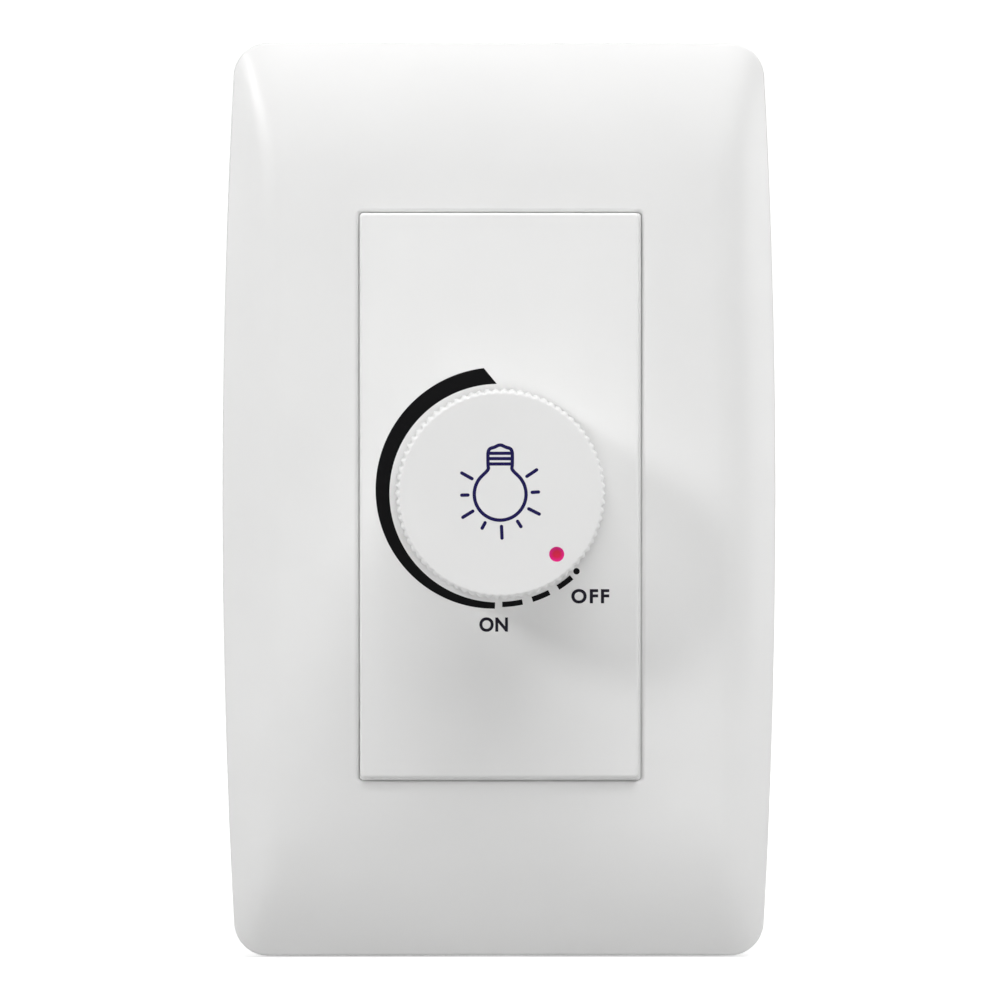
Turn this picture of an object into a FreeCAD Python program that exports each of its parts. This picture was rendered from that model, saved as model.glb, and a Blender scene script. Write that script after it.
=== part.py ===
import FreeCAD, Part
import os
from math import cos, pi, radians, sin, sqrt

V = FreeCAD.Vector

# A rotary dimmer switch for a flush wall box, in millimetres. X is right and Z is up. The wall plane is
# y = 0, the room is on the -Y side, and the origin is midway between the two box screws.

# Box fixing
box_screw_spacing = 83.5
box_slot_radius = 2.2
box_slot_length = 6.4

# Face plate
plate_height = 120.0
plate_width = 72.7          # across the middle, where the bowed sides are widest
side_arc_radius = 1036.0    # of the bowed long sides
plate_depth = 8.5           # from the wall to the flat middle
plate_corner_radius = 4.5
plate_edge_radius = 0.6     # round between the crown and the rim
end_run = 20.0              # length of the slope at the top and bottom
end_fall = 4.5
side_run = 7.5              # length of the slope along the sides
side_fall = 4.5
side_power = 1.65
ridge_sharpness = 4.0       # how crisply the end and side slopes meet
plate_wall = 2.0
collar_wall = 1.5
collar_gap_width = 16.0     # opening in the collar's ends for the box screw heads
plate_rib = 1.0
plate_rib_x = 12.0
plate_rib_z = 15.0
pry_notch_width = 8.0
pry_notch_depth = 1.5

# Support frame
frame_side_margin = 6.25    # from the plate's sides and ends in to the frame
frame_end_margin = 3.5
frame_thickness = 2.5
frame_corner_radius = 3.0
spot_face_radius = 3.4
spot_face_depth = 0.8
relief_length = 13.0        # lightening slots near the corners
relief_width = 4.0
relief_end = 1.8            # radius of their ends
relief_side_inset = 10.1    # from the frame's edges to the middle of the slots
relief_end_inset = 5.0

# Plate snap hooks on the frame's long edges
hook_z = 30.0
hook_width = 6.0
hook_arm = 1.4
hook_bite = 0.5
hook_land = 0.3             # flat of the hook's tip
hook_lead = 0.9             # length of the tip
ledge_thickness = 1.3

# Dimmer module
module_z = 0.6              # its middle lies this far above the box screws' middle
panel_end_margin = 4.85     # from the box screws in to the panel's ends
panel_proud = 0.8           # beyond the plate's flat middle
panel_thickness = 2.0
panel_wall = 1.6
panel_corner_radius = 0.5
panel_edge_radius = 0.4
skirt_depth = 1.0           # from the plate's flat middle back to the panel's skirt, which fills the window
panel_rib = 1.2
panel_rib_x = 10.0
panel_rib_inset = 10.6      # from the heat sink's ends to the level ribs
panel_rib_end = 2.65        # from the heat sink's ends to the upright ribs
housing_side_margin = 0.9   # from the panel's sides in to the housing
housing_wall = 1.6
housing_corner_radius = 1.5
housing_edge_radius = 1.0
latch_inset = 13.7          # from the housing's ends
latch_width = 6.0
latch_bite = 0.6
latch_ledge = 1.5           # depth of the frame's ledges behind the wall plane's front side
latch_land = 0.4
latch_length = 3.0
board_rib_width = 1.2       # ribs that carry the circuit board
board_rib_shelf = 1.0
board_rib_inset = 6.5       # from the board's ends
vent_count = 6
end_vent_count = 4
vent_width = 1.4
vent_length = 9.0
vent_pitch = 4.0
vent_rise = 8.0             # middle of the side vents above the module's middle
vent_inset = 1.5            # from the housing's floor

# Screws that join the housing to the panel
screw_side_inset = 4.8      # from the housing's outside
screw_tube_gap = 1.5        # from the terminals to the screw tubes
screw_end_inset = 4.4
screw_radius = 1.25
screw_head_radius = 2.3
screw_head_height = 1.8
screw_seat = 3.0            # y of the seat under the head
screw_bite = 4.3            # length held in the panel's boss
boss_radius = 2.8
recess_width = 0.6          # cross recess in the screw heads
recess_reach = 1.6
recess_depth = 1.0

# Potentiometer and its heat sink
shaft_rise = 0.4            # shaft axis above the middle of the module
shaft_radius = 3.0
shaft_flat = 1.5            # depth of the flat on the shaft
shaft_flat_length = 10.0
shaft_chamfer = 0.4
bushing_radius = 3.5
bushing_front = 0.3         # from the panel's face back to the bushing's end
bushing_chamfer = 0.3
panel_hole_radius = 4.0
sink_thickness = 1.5
sink_end_gap = 2.0          # from the screw bosses
sink_corner_radius = 1.0
washer_thickness = 0.6
washer_radius = 5.6
washer_teeth = 12
washer_notch_width = 0.7
washer_notch_depth = 0.6
nut_gap = 0.2               # from the panel's back to the nut
nut_thickness = 1.5
nut_across_flats = 10.0
pot_radius = 8.25
pot_wall = 1.0
pot_flange = 1.2
pot_depth = 6.5
rotor_radius = 6.2
rotor_thickness = 1.6
stop_lug_angle = 12.0
stop_gap_angle = 1.0        # left between the rotor's lug and the stop at each end of the turn
turn_angle = 225.0
track_inner = 4.0
track_outer = 6.0
track_angle = 270.0
track_thickness = 0.4
wiper_thickness = 0.3
wiper_radius = 5.4
finger_width = 0.5
finger_pitch = 0.7
finger_length = 3.6
tail_radius = 1.5           # end of the shaft that turns the switch cam
tail_end = 1.5              # from the tail's end to the switch can's back
can_depth = 6.0
cam_start = 1.2             # from the potentiometer's back to the cam
cam_thickness = 2.0
cam_hub_radius = 2.7
cam_reach = 3.6
cam_lobe_radius = 0.9
blade_thickness = 0.4
blade_below = 4.0           # reach of the blade below and above the shaft axis
blade_above = 5.2
blade_foot = 2.0
contact_gap = 0.6
contact_radius = 0.6
contact_inset = 0.7         # from the blade's upper end to the middle of its contact point
post_thickness = 0.8
lug_pitch = 2.5             # solder lugs of the potentiometer
lug_width = 1.0
lug_thickness = 0.5
lug_inset = 1.5             # from the potentiometer's back
lug_drop = 2.0              # below the potentiometer
switch_lug_x = 4.0
switch_lug_z = 2.0          # above the shaft axis

# Circuit board and what it carries
board_side_gap = 0.2
board_thickness = 1.6
board_corner_radius = 1.0
board_stand_off = 1.0       # from the switch can to the board
choke_x = -5.8
choke_radius = 8.6
choke_hole = 4.2
choke_height = 6.4
choke_turns = 18
winding_wire = 0.9
fuse_x = 10.8
fuse_radius = 2.6
fuse_length = 20.0
fuse_cap_length = 5.5
fuse_cap_wall = 0.3
fuse_rise = 0.6             # from the board to the fuse
clip_width = 3.0
clip_length = 3.5
capacitor_gap = 2.0         # above the terminals
film_x = -4.0
film_length = 17.5
film_width = 8.0
film_height = 8.6
film_edge_radius = 0.7
timing_x = 10.4
timing_length = 4.0
timing_width = 7.2
timing_height = 7.0
timing_edge_radius = 0.5
resistor_radius = 1.25
resistor_length = 6.4
diac_radius = 0.95
diac_length = 3.8
row_inset = 3.4             # from the board's end to the upper row of small components
row_pitch = 3.6
left_column = -9.0
right_column = 3.4
lead_half = 0.3             # half the thickness of a component's lead
lead_reach = 1.2            # beyond each end of the component
lead_rise = 0.4             # from the board to the component

# Triac, which lies along X
triac_x = -4.5              # middle of its tab
triac_end_gap = 0.5         # from the heat sink's end
rivet_radius = 1.5
rivet_head_radius = 2.6
rivet_head_height = 0.9
tab_width = 10.0
tab_length = 6.6
tab_thickness = 1.3
triac_length = 7.0
triac_thickness = 4.4
triac_edge_radius = 0.4
triac_leg_pitch = 2.54
triac_leg_width = 0.8
triac_leg_thickness = 0.5
triac_leg_length = 2.0
triac_leg_depth = 2.4       # from the heat sink to the middle of the legs

# Terminals
terminal_pitch = 9.4
terminal_width = 7.0
terminal_length = 8.6
terminal_height = 8.8
terminal_chamfer = 0.5
wire_radius = 1.7
wire_funnel = 2.6
wire_offset = 0.6           # from the middle of the terminal towards the room
terminal_screw_radius = 1.6
terminal_head_radius = 2.7
terminal_head_height = 1.8
terminal_head_rise = 0.2    # from the cage to the head
driver_slot_width = 0.7
driver_slot_depth = 1.0

# Knob
knob_base_radius = 13.9
knob_taper = 0.4            # how much narrower the knob is at its front
knob_height = 15.0
knob_gap = 0.6              # from the panel's face to the knob
knob_top_wall = 2.0
knob_wall = 1.7
knob_chamfer = 0.5
knob_hub_radius = 5.2
knob_rib = 1.2
knob_rib_count = 6
knob_rib_end = 4.0          # from the knob's base to the ribs
shaft_cover = 1.5           # from the knob's inner face to the shaft's end
flute_count = 78
flute_width = 0.9
flute_floor = 0.36
flute_depth = 0.34
dot_radius = 1.0            # indicator dimple
dot_reach = 10.5            # from the shaft axis
dot_angle = 47.0            # below the horizontal, to the right, with the dimmer off
dot_depth = 0.25

# Clearances
window_clearance = 0.25     # plate window round the panel, when centred
window_shift_x = 0.1        # the panel stands a little left of and above the window's middle
window_shift_z = -0.15
skirt_clearance = 0.05      # plate window round the panel's skirt
frame_clearance = 0.3       # frame window round the housing
seat_clearance = 0.1        # snap hooks, latches and collar to what they hold
running_clearance = 0.05    # shaft in its bushing
push_clearance = 0.02       # knob on the shaft, screws in their threads
moving_clearance = 0.3      # moving pieces beside fixed ones
free_clearance = 0.4        # screw shanks in tubes, pieces that mustn't touch

# Outlines that follow from the plate, the box screws and the terminals
frame_width = plate_width - 2 * frame_side_margin
frame_height = plate_height - 2 * frame_end_margin
panel_height = box_screw_spacing - 2 * panel_end_margin
screw_x = (terminal_pitch + terminal_width) / 2 + screw_tube_gap + boss_radius
housing_width = 2 * (screw_x + screw_side_inset)
housing_height = panel_height - 2 * panel_wall
panel_width = housing_width + 2 * housing_side_margin
housing_inside = housing_width / 2 - housing_wall
screw_z = housing_height / 2 - screw_end_inset
sink_height = 2 * (screw_z - boss_radius - sink_end_gap)
board_height = sink_height
board_width = 2 * (housing_inside - board_side_gap)
latch_z = housing_height / 2 - latch_inset
board_rib_z = board_height / 2 - board_rib_inset
rivet_z = sink_height / 2 - triac_end_gap - tab_width / 2
terminal_z = -housing_height / 2 + housing_wall + seat_clearance + terminal_length / 2
capacitor_z = terminal_z + terminal_length / 2 + capacitor_gap + film_width / 2
row_top = board_height / 2 - row_inset
choke_z = (row_top - row_pitch + capacitor_z + film_width / 2) / 2
fuse_z = (board_height + 2 * capacitor_z + film_width) / 4

# Planes along Y, from front to back
plate_front = -plate_depth
panel_front = plate_front - panel_proud
panel_back = panel_front + panel_thickness
frame_front = -frame_thickness
nut_front = panel_back + nut_gap
washer_front = nut_front + nut_thickness
sink_front = washer_front + washer_thickness
sink_back = sink_front + sink_thickness
pot_back = sink_back + pot_depth
can_back = pot_back + can_depth
board_front = can_back + board_stand_off
board_back = board_front + board_thickness
floor_front = board_back + terminal_height + terminal_head_rise + terminal_head_height
housing_depth = floor_front + housing_wall
bushing_end = panel_front + bushing_front
knob_top_radius = knob_base_radius - knob_taper
knob_base = panel_front - knob_gap
knob_top = knob_base - knob_height
rotor_front = sink_back + pot_flange + free_clearance
rotor_back = rotor_front + rotor_thickness
track_back = pot_back - pot_wall
track_front = track_back - track_thickness
cam_front = pot_back + cam_start
cam_back = cam_front + cam_thickness
can_floor = can_back - pot_wall
shaft_end = knob_top + knob_top_wall + shaft_cover
wire_y = board_back + terminal_height / 2 - wire_offset

window_width = panel_width + 2 * window_clearance
window_height = panel_height + 2 * window_clearance
window_x = window_shift_x
window_z = module_z + window_shift_z
frame_window_width = housing_width + 2 * frame_clearance
frame_window_height = housing_height + 2 * frame_clearance
lug_start = 90.0 - turn_angle / 2 - stop_lug_angle / 2
blade_x = -cam_reach - free_clearance
screw_places = [(x, z) for x in (-screw_x, screw_x) for z in (-screw_z, screw_z)]
terminal_places = [-terminal_pitch / 2, terminal_pitch / 2]


def block(x, y, z):
    """A box between the two ends given for each axis."""
    return Part.makeBox(x[1] - x[0], y[1] - y[0], z[1] - z[0], V(x[0], y[0], z[0]))


def centred(width, y, height, z=0.0, x=0.0):
    """A box centred on (x, z)."""
    return block((x - width / 2, x + width / 2), y, (z - height / 2, z + height / 2))


def rod(radius, y, x=0.0, z=0.0):
    """A cylinder along Y between the two ends given."""
    return Part.makeCylinder(radius, y[1] - y[0], V(x, y[0], z), V(0, 1, 0))


def prism(points, start, direction):
    """A closed outline of corner points, moved to start and extruded."""
    corners = [V(*p) + V(*start) for p in points]
    return Part.Face(Part.makePolygon(corners + corners[:1])).extrude(V(*direction))


def turned(profile, z=shaft_rise):
    """A (radius, y) outline turned about the axis along Y at height z."""
    corners = [V(r, y, z) for r, y in profile]
    face = Part.Face(Part.makePolygon(corners + corners[:1]))
    return face.revolve(V(0, 0, z), V(0, 1, 0), 360)


def sector(inner, outer, y, start, span, z=shaft_rise):
    """Part of a ring about the shaft axis. Angles run clockwise from the right, seen from the front."""
    face = Part.Face(Part.makePolygon([
        V(inner, y[0], z), V(outer, y[0], z), V(outer, y[1], z), V(inner, y[1], z), V(inner, y[0], z)]))
    ring = face.revolve(V(0, 0, z), V(0, 1, 0), span)
    ring.rotate(V(0, 0, z), V(0, 1, 0), start)
    return ring


def edges_where(shape, test):
    """Edges whose every corner and middle pass the test."""
    def points(edge):
        first, last = edge.ParameterRange
        return [edge.valueAt(first), edge.valueAt((first + last) / 2), edge.valueAt(last)]
    return [edge for edge in shape.Edges if all(test(p) for p in points(edge))]


def along_y(edge):
    return len(edge.Vertexes) == 2 and abs(edge.tangentAt(edge.FirstParameter).y) > 0.999


def round_corners(shape, radius):
    """Rounds the upright corners of a block or outline extruded along Y."""
    return shape.makeFillet(radius, [e for e in shape.Edges if along_y(e)])


def half_width(z):
    """Half the plate's width at height z, on its bowed side."""
    return plate_width / 2 - side_arc_radius + sqrt(side_arc_radius ** 2 - z ** 2)


def crown_height(x, z):
    """Distance of the crown from the wall. Past the flat middle, the side and end slopes blend."""
    side = max(0.0, abs(x) - half_width(z) + side_run) / side_run
    end = max(0.0, abs(z) - plate_height / 2 + end_run) / end_run
    side_drop = side_fall * side ** side_power
    end_drop = end_fall * end ** 2
    drop = (side_drop ** ridge_sharpness + end_drop ** ridge_sharpness) ** (1 / ridge_sharpness)
    return plate_depth - drop


def stations(half, run):
    """Pole places across the plate: close together over the slope, wide apart over the flat."""
    step = run / 4
    slope = [half + step - i * step for i in range(6)]
    positive = slope + [slope[-1] / 2]
    return [-p for p in positive] + [0.0] + positive[::-1]


def crown_surface():
    """The plate's crown as a cubic surface."""
    across = stations(plate_width / 2, side_run + plate_width / 2 - half_width(plate_height / 2))
    along = stations(plate_height / 2, end_run)
    poles = [[V(x, -crown_height(x, z), z) for z in along] for x in across]
    surface = Part.BSplineSurface()
    spans_x = len(across) - 3
    spans_z = len(along) - 3
    surface.buildFromPolesMultsKnots(
        poles, [4] + [1] * (spans_x - 1) + [4], [4] + [1] * (spans_z - 1) + [4],
        list(range(spans_x + 1)), list(range(spans_z + 1)), False, False, 3, 3)
    return surface


def plate_outline(inset, back):
    """The plate's bowed outline, drawn in by inset, as a block from in front of the crown to back."""
    top = plate_height / 2 - inset
    start = -plate_depth - 1
    side = half_width(top) - inset
    middle = plate_width / 2 - inset
    right = Part.Arc(V(side, start, -top), V(middle, start, 0), V(side, start, top)).toShape()
    left = Part.Arc(V(-side, start, top), V(-middle, start, 0), V(-side, start, -top)).toShape()
    upper = Part.makeLine(V(side, start, top), V(-side, start, top))
    lower = Part.makeLine(V(-side, start, -top), V(side, start, -top))
    face = Part.Face(Part.Wire([right, upper, left, lower]))
    return round_corners(face.extrude(V(0, back - start, 0)), max(plate_corner_radius - inset, 0.8))


def slope_section(flat, edge, reach, depth, place):
    """A section of the plate's inside, open to the wall: flat, then an arc down each slope, then level to
    reach. depth gives y at a distance from the middle, and place turns (distance, y) into a point."""
    low = depth(edge)
    middle = (flat + edge) / 2
    right = Part.Arc(place(flat, depth(flat)), place(middle, depth(middle)), place(edge, low)).toShape()
    left = Part.Arc(place(-edge, low), place(-middle, depth(middle)), place(-flat, depth(flat))).toShape()
    corners = [(edge, low), (reach, low), (reach, 1), (-reach, 1), (-reach, low), (-edge, low)]
    outside = Part.makePolygon([place(*corner) for corner in corners])
    top = Part.makeLine(place(-flat, depth(flat)), place(flat, depth(flat)))
    return Part.Face(Part.Wire([top, right] + outside.Edges + [left]))


def inner_space(wall):
    """The hollow inside the plate: one section along it, and one across it swept along the bowed sides."""
    along = slope_section(
        plate_height / 2 - end_run, plate_height / 2 - wall, plate_height,
        lambda z: wall - crown_height(0, z), lambda z, y: V(-plate_width, y, z))
    space = along.extrude(V(2 * plate_width, 0, 0)).common(plate_outline(wall, 0.5))
    across = slope_section(
        plate_width / 2 - side_run, plate_width / 2 - wall, plate_width,
        lambda x: wall - crown_height(x, 0), lambda x, y: V(x, y, 0))
    for sign in (-1, 1):
        centre = V(sign * (plate_width / 2 - side_arc_radius), 0, 0)
        section = across.copy()
        section.rotate(centre, V(0, 1, 0), -6)
        space = space.common(section.revolve(centre, V(0, 1, 0), 12))
    return space


def make_face_plate():
    under_crown = Part.Face(crown_surface()).extrude(V(0, 2 * plate_depth, 0))
    plate = under_crown.common(plate_outline(0.0, 0.0))
    rim = [e for e in plate.Edges if on_crown_edge(e)]
    plate = plate.makeFillet(plate_edge_radius, rim)
    window = round_corners(
        centred(window_width, (plate_front - 1, 1), window_height, window_z, window_x), panel_corner_radius)
    plate = plate.cut(window)
    lip = [e for e in edges_where(plate, on_window) if on_crown_edge(e)]
    plate = plate.makeFillet(plate_edge_radius, lip)
    plate = plate.cut(inner_space(plate_wall))
    inner = inner_space(plate_wall / 2)
    plate = plate.fuse([make_collar(window).common(inner)] + [piece.common(inner) for piece in plate_ribs()])
    plate = plate.fuse([hook.common(inner) for hook in plate_hooks()])
    notch = centred(pry_notch_width, (-pry_notch_depth, 1), 2 * plate_wall + 2, -plate_height / 2)
    return plate.cut(notch).removeSplitter()


def on_crown_edge(edge):
    """Whether an edge bounds the crown, and so lies neither on the wall nor along Y."""
    middle = edge.valueAt(sum(edge.ParameterRange) / 2)
    return middle.y < -1.0 and not along_y(edge)


def on_window(point):
    """Whether a point lies on the wall of the plate's window."""
    x_past = abs(point.x - window_x) - window_width / 2
    z_past = abs(point.z - window_z) - window_height / 2
    corner = x_past > -panel_corner_radius - 0.01 and z_past > -panel_corner_radius - 0.01
    return max(x_past, z_past) < 0.01 and (abs(x_past) < 0.01 or abs(z_past) < 0.01 or corner)


def make_collar(window):
    """The wall round the window that guides the panel and stands on the frame."""
    reach = (plate_front, frame_front - seat_clearance)
    outside = centred(
        window_width + 2 * collar_wall, reach, window_height + 2 * collar_wall, window_z, window_x)
    gap = centred(collar_gap_width, (plate_front, 1), plate_height)
    return outside.cut([window, gap])


def plate_ribs():
    """Ribs from the collar to the plate's rim, clear of the frame."""
    reach = (plate_front, frame_front - free_clearance)
    side_start = window_width / 2 + collar_wall / 2
    side_end = plate_width / 2
    end_start = window_height / 2 + collar_wall / 2 + window_z
    ribs = []
    for sign in (-1, 1):
        xs = sorted((sign * side_start, sign * side_end))
        for z in (-plate_rib_z, 0.0, plate_rib_z):
            ribs.append(block(xs, reach, (z - plate_rib / 2, z + plate_rib / 2)))
        zs = sorted((sign * end_start, sign * plate_height / 2))
        for x in (-plate_rib_x, plate_rib_x):
            ribs.append(block((x - plate_rib / 2, x + plate_rib / 2), reach, zs))
    return ribs


def plate_hooks():
    """Four snap arms that reach past the frame's long edges and bite under its ledges."""
    inside = frame_width / 2 + frame_clearance
    bite = frame_width / 2 - hook_bite
    top = frame_front + ledge_thickness + seat_clearance
    tip = top + hook_lead
    hooks = []
    for sign in (-1, 1):
        for z in (-hook_z, hook_z):
            profile = [
                (sign * inside, plate_front, 0), (sign * inside, top, 0), (sign * bite, top, 0),
                (sign * bite, top + hook_land, 0), (sign * inside, tip, 0),
                (sign * (inside + hook_arm), tip, 0), (sign * (inside + hook_arm), plate_front, 0)]
            hooks.append(prism(profile, (0, 0, z - hook_width / 2), (0, 0, hook_width)))
    return hooks


def make_support_frame():
    thickness = (frame_front, 0.0)
    frame = round_corners(centred(frame_width, thickness, frame_height), frame_corner_radius)
    cuts = [centred(frame_window_width, (frame_front - 1, 1), frame_window_height, module_z)]
    slot_half = box_slot_length / 2 - box_slot_radius
    for z in (-box_screw_spacing / 2, box_screw_spacing / 2):
        cuts.append(slot_tool(box_slot_radius, slot_half, (frame_front - 1, 1), z))
        spot_face = (frame_front - 1, frame_front + spot_face_depth)
        cuts.append(slot_tool(spot_face_radius, slot_half, spot_face, z))
    relief_x = frame_width / 2 - relief_side_inset
    relief_z = frame_height / 2 - relief_end_inset
    for x in (-relief_x, relief_x):
        for z in (-relief_z, relief_z):
            relief = centred(relief_length, (frame_front - 1, 1), relief_width, z, x)
            cuts.append(round_corners(relief, relief_end))
    for sign in (-1, 1):
        for z in (-hook_z, hook_z):
            edge = sorted((sign * (frame_width / 2 - 2 * hook_bite - free_clearance), sign * frame_width))
            under = (frame_front + ledge_thickness, 1)
            half = hook_width / 2 + free_clearance
            cuts.append(block(edge, under, (z - half, z + half)))
        for z in (-latch_z, latch_z):
            pocket_end = sign * (frame_window_width / 2 + latch_bite + free_clearance)
            pocket = sorted((0.0, pocket_end))
            half = latch_width / 2 + free_clearance
            cuts.append(block(pocket, (-latch_ledge, 1), (module_z + z - half, module_z + z + half)))
    return frame.cut(cuts)


def slot_tool(radius, half, y, z):
    """A cutter with round ends, upright, about height z."""
    ends = [rod(radius, y, 0, z - half), rod(radius, y, 0, z + half)]
    return centred(2 * radius, y, 2 * half, z).fuse(ends).removeSplitter()


def make_front_panel():
    panel = centred(panel_width, (panel_front, frame_front), panel_height)
    panel = round_corners(panel, panel_corner_radius)
    face_edges = edges_where(panel, lambda p: p.y < panel_front + 0.01)
    panel = panel.makeFillet(panel_edge_radius, face_edges)
    skirt = centred(
        window_width - 2 * skirt_clearance, (plate_front + skirt_depth, frame_front),
        window_height - 2 * skirt_clearance, window_shift_z, window_shift_x)
    panel = panel.fuse(round_corners(skirt, panel_corner_radius))
    inside = centred(panel_width - 2 * panel_wall, (panel_back, 0), panel_height - 2 * panel_wall)
    bosses = [rod(boss_radius, (panel_back, frame_front), x, z) for x, z in screw_places]
    panel = panel.cut(inside).fuse(bosses + panel_ribs())
    pilots = [rod(screw_radius + push_clearance, (frame_front - screw_bite - free_clearance, 0), x, z)
              for x, z in screw_places]
    hole = rod(panel_hole_radius, (panel_front - 1, 0), 0, shaft_rise)
    return panel.cut(pilots + [hole]).removeSplitter()


def panel_ribs():
    """Ribs behind the panel that the heat sink is pressed against."""
    reach = (panel_back, sink_front)
    inside = panel_width / 2 - panel_wall
    ribs = []
    for sign in (-1, 1):
        ribs.append(centred(panel_rib, reach, sink_height - 2 * panel_rib_end, 0, sign * panel_rib_x))
        ribs.append(centred(2 * inside, reach, panel_rib, sign * (sink_height / 2 - panel_rib_inset)))
    return ribs


def make_rear_housing():
    outside = centred(housing_width, (frame_front, housing_depth), housing_height)
    outside = round_corners(outside, housing_corner_radius)
    back_edges = edges_where(outside, lambda p: p.y > housing_depth - 0.01)
    outside = outside.makeFillet(housing_edge_radius, back_edges)
    inner_height = housing_height - 2 * housing_wall
    housing = outside.cut(centred(2 * housing_inside, (frame_front - 1, floor_front), inner_height))
    tubes = [rod(boss_radius, (frame_front, floor_front), x, z) for x, z in screw_places]
    housing = housing.fuse(tubes + board_ribs() + [terminal_wall()] + housing_latches())
    cuts = []
    for x, z in screw_places:
        cuts.append(rod(screw_radius + free_clearance / 2, (frame_front - 1, housing_depth + 1), x, z))
        cuts.append(rod(screw_head_radius + free_clearance / 4, (screw_seat, housing_depth + 1), x, z))
    for x in terminal_places:
        cuts.append(wire_entry(x))
        cuts.append(rod(terminal_head_radius + free_clearance, (floor_front - 1, housing_depth + 1),
                        x, terminal_z))
    return housing.cut(cuts + vents()).removeSplitter()


def board_ribs():
    """Ribs up the housing's side walls that carry the circuit board."""
    reach = (board_back, floor_front)
    ribs = []
    for sign in (-1, 1):
        xs = sorted((sign * (housing_inside - board_rib_shelf), sign * (housing_inside + housing_wall / 2)))
        for z in (-board_rib_z, 0.0, board_rib_z):
            ribs.append(block(xs, reach, (z - board_rib_width / 2, z + board_rib_width / 2)))
    return ribs


def terminal_wall():
    """The wall that keeps the two terminals apart."""
    inside = -housing_height / 2 + housing_wall / 2
    thickness = terminal_pitch - terminal_width - 2 * seat_clearance
    return block((-thickness / 2, thickness / 2), (board_back + free_clearance, floor_front),
                 (inside, terminal_z + terminal_length / 2))


def wire_entry(x):
    """A funnelled hole through the housing's lower wall, in line with a terminal."""
    radius = wire_radius + free_clearance
    mouth = V(x, wire_y, -housing_height / 2)
    hole = Part.makeCylinder(radius, 2 * housing_wall, mouth - V(0, 0, 1), V(0, 0, 1))
    funnel = Part.makeCone(wire_funnel, radius, housing_wall / 2, mouth, V(0, 0, 1))
    return hole.fuse(funnel)


def housing_latches():
    """Four wedges that snap behind ledges in the frame."""
    wall = housing_width / 2
    root = wall - housing_wall / 2
    tip = wall + frame_clearance + latch_bite
    catch = seat_clearance - latch_ledge
    latches = []
    for sign in (-1, 1):
        for z in (-latch_z, latch_z):
            profile = [(sign * root, catch, 0), (sign * tip, catch, 0), (sign * tip, catch + latch_land, 0),
                       (sign * wall, catch + latch_length, 0), (sign * root, catch + latch_length, 0)]
            latches.append(prism(profile, (0, 0, z - latch_width / 2), (0, 0, latch_width)))
    return latches


def vents():
    """Cooling slots in both long walls and in the upper wall."""
    reach = (floor_front - vent_inset - vent_length, floor_front - vent_inset)
    through = 2.2 * housing_wall
    slots = []
    for sign in (-1, 1):
        for i in range(vent_count):
            z = vent_rise + (i - (vent_count - 1) / 2) * vent_pitch
            slots.append(centred(through, reach, vent_width, z, sign * housing_width / 2))
    for i in range(end_vent_count):
        x = (i - (end_vent_count - 1) / 2) * vent_pitch
        slots.append(centred(vent_width, reach, through, housing_height / 2, x))
    return slots


def cross_recess(top, x, z):
    """The cutter of a cross recess into a screw head from behind."""
    reach = (top - recess_depth, top + 1)
    level = centred(2 * recess_reach, reach, recess_width, z, x)
    return level.fuse(centred(recess_width, reach, 2 * recess_reach, z, x))


def make_housing_screws():
    screws = []
    for x, z in screw_places:
        top = screw_seat + screw_head_height
        screw = rod(screw_radius, (frame_front - screw_bite, screw_seat), x, z)
        screw = screw.fuse(rod(screw_head_radius, (screw_seat, top), x, z))
        screws.append(screw.cut(cross_recess(top, x, z)))
    return Part.makeCompound(screws)


def make_heat_sink():
    sink = centred(2 * (housing_inside - seat_clearance), (sink_front, sink_back), sink_height)
    sink = round_corners(sink, sink_corner_radius)
    through = (sink_front - 1, sink_back + 1)
    bushing_hole = rod(bushing_radius + push_clearance, through, 0, shaft_rise)
    return sink.cut([bushing_hole, rod(rivet_radius + push_clearance, through, triac_x, rivet_z)])


def make_pot_bushing():
    bushing = rod(bushing_radius, (bushing_end, sink_back), 0, shaft_rise)
    end = edges_where(bushing, lambda p: p.y < bushing_end + 0.01)
    bushing = bushing.makeChamfer(bushing_chamfer, end)
    flange = rod(pot_radius, (sink_back, sink_back + pot_flange), 0, shaft_rise)
    through = (bushing_end - 1, sink_back + pot_flange + 1)
    bore = rod(shaft_radius + running_clearance, through, 0, shaft_rise)
    return bushing.fuse(flange).cut(bore).removeSplitter()


def make_lock_washer():
    washer = rod(washer_radius, (washer_front, sink_front), 0, shaft_rise)
    through = (washer_front - 1, sink_front + 1)
    notches = []
    for i in range(washer_teeth):
        notch = centred(2 * washer_notch_depth, through, washer_notch_width, shaft_rise, washer_radius)
        notch.rotate(V(0, 0, shaft_rise), V(0, 1, 0), 360.0 / washer_teeth * i)
        notches.append(notch)
    bore = rod(bushing_radius + 2 * push_clearance, through, 0, shaft_rise)
    return washer.cut(notches + [bore])


def make_pot_nut():
    corner = nut_across_flats / 2 / cos(pi / 6)
    points = [(corner * cos(i * pi / 3), nut_front, shaft_rise + corner * sin(i * pi / 3)) for i in range(6)]
    nut = prism(points, (0, 0, 0), (0, nut_thickness, 0))
    through = (nut_front - 1, washer_front + 1)
    return nut.cut(rod(bushing_radius + 2 * push_clearance, through, 0, shaft_rise))


def make_pot_body():
    front = sink_back + pot_flange
    body = rod(pot_radius, (front, pot_back), 0, shaft_rise)
    cavity = rod(pot_radius - pot_wall, (front - 1, track_back), 0, shaft_rise)
    tail_hole = rod(tail_radius + free_clearance, (front, pot_back + 1), 0, shaft_rise)
    stop_span = 360.0 - turn_angle - stop_lug_angle - 2 * stop_gap_angle
    stop_start = lug_start + turn_angle + stop_lug_angle + stop_gap_angle
    stop = sector(rotor_radius + moving_clearance, pot_radius - pot_wall / 2, (front, rotor_back),
                  stop_start, stop_span)
    return body.cut([cavity, tail_hole]).fuse(stop).removeSplitter()


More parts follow.
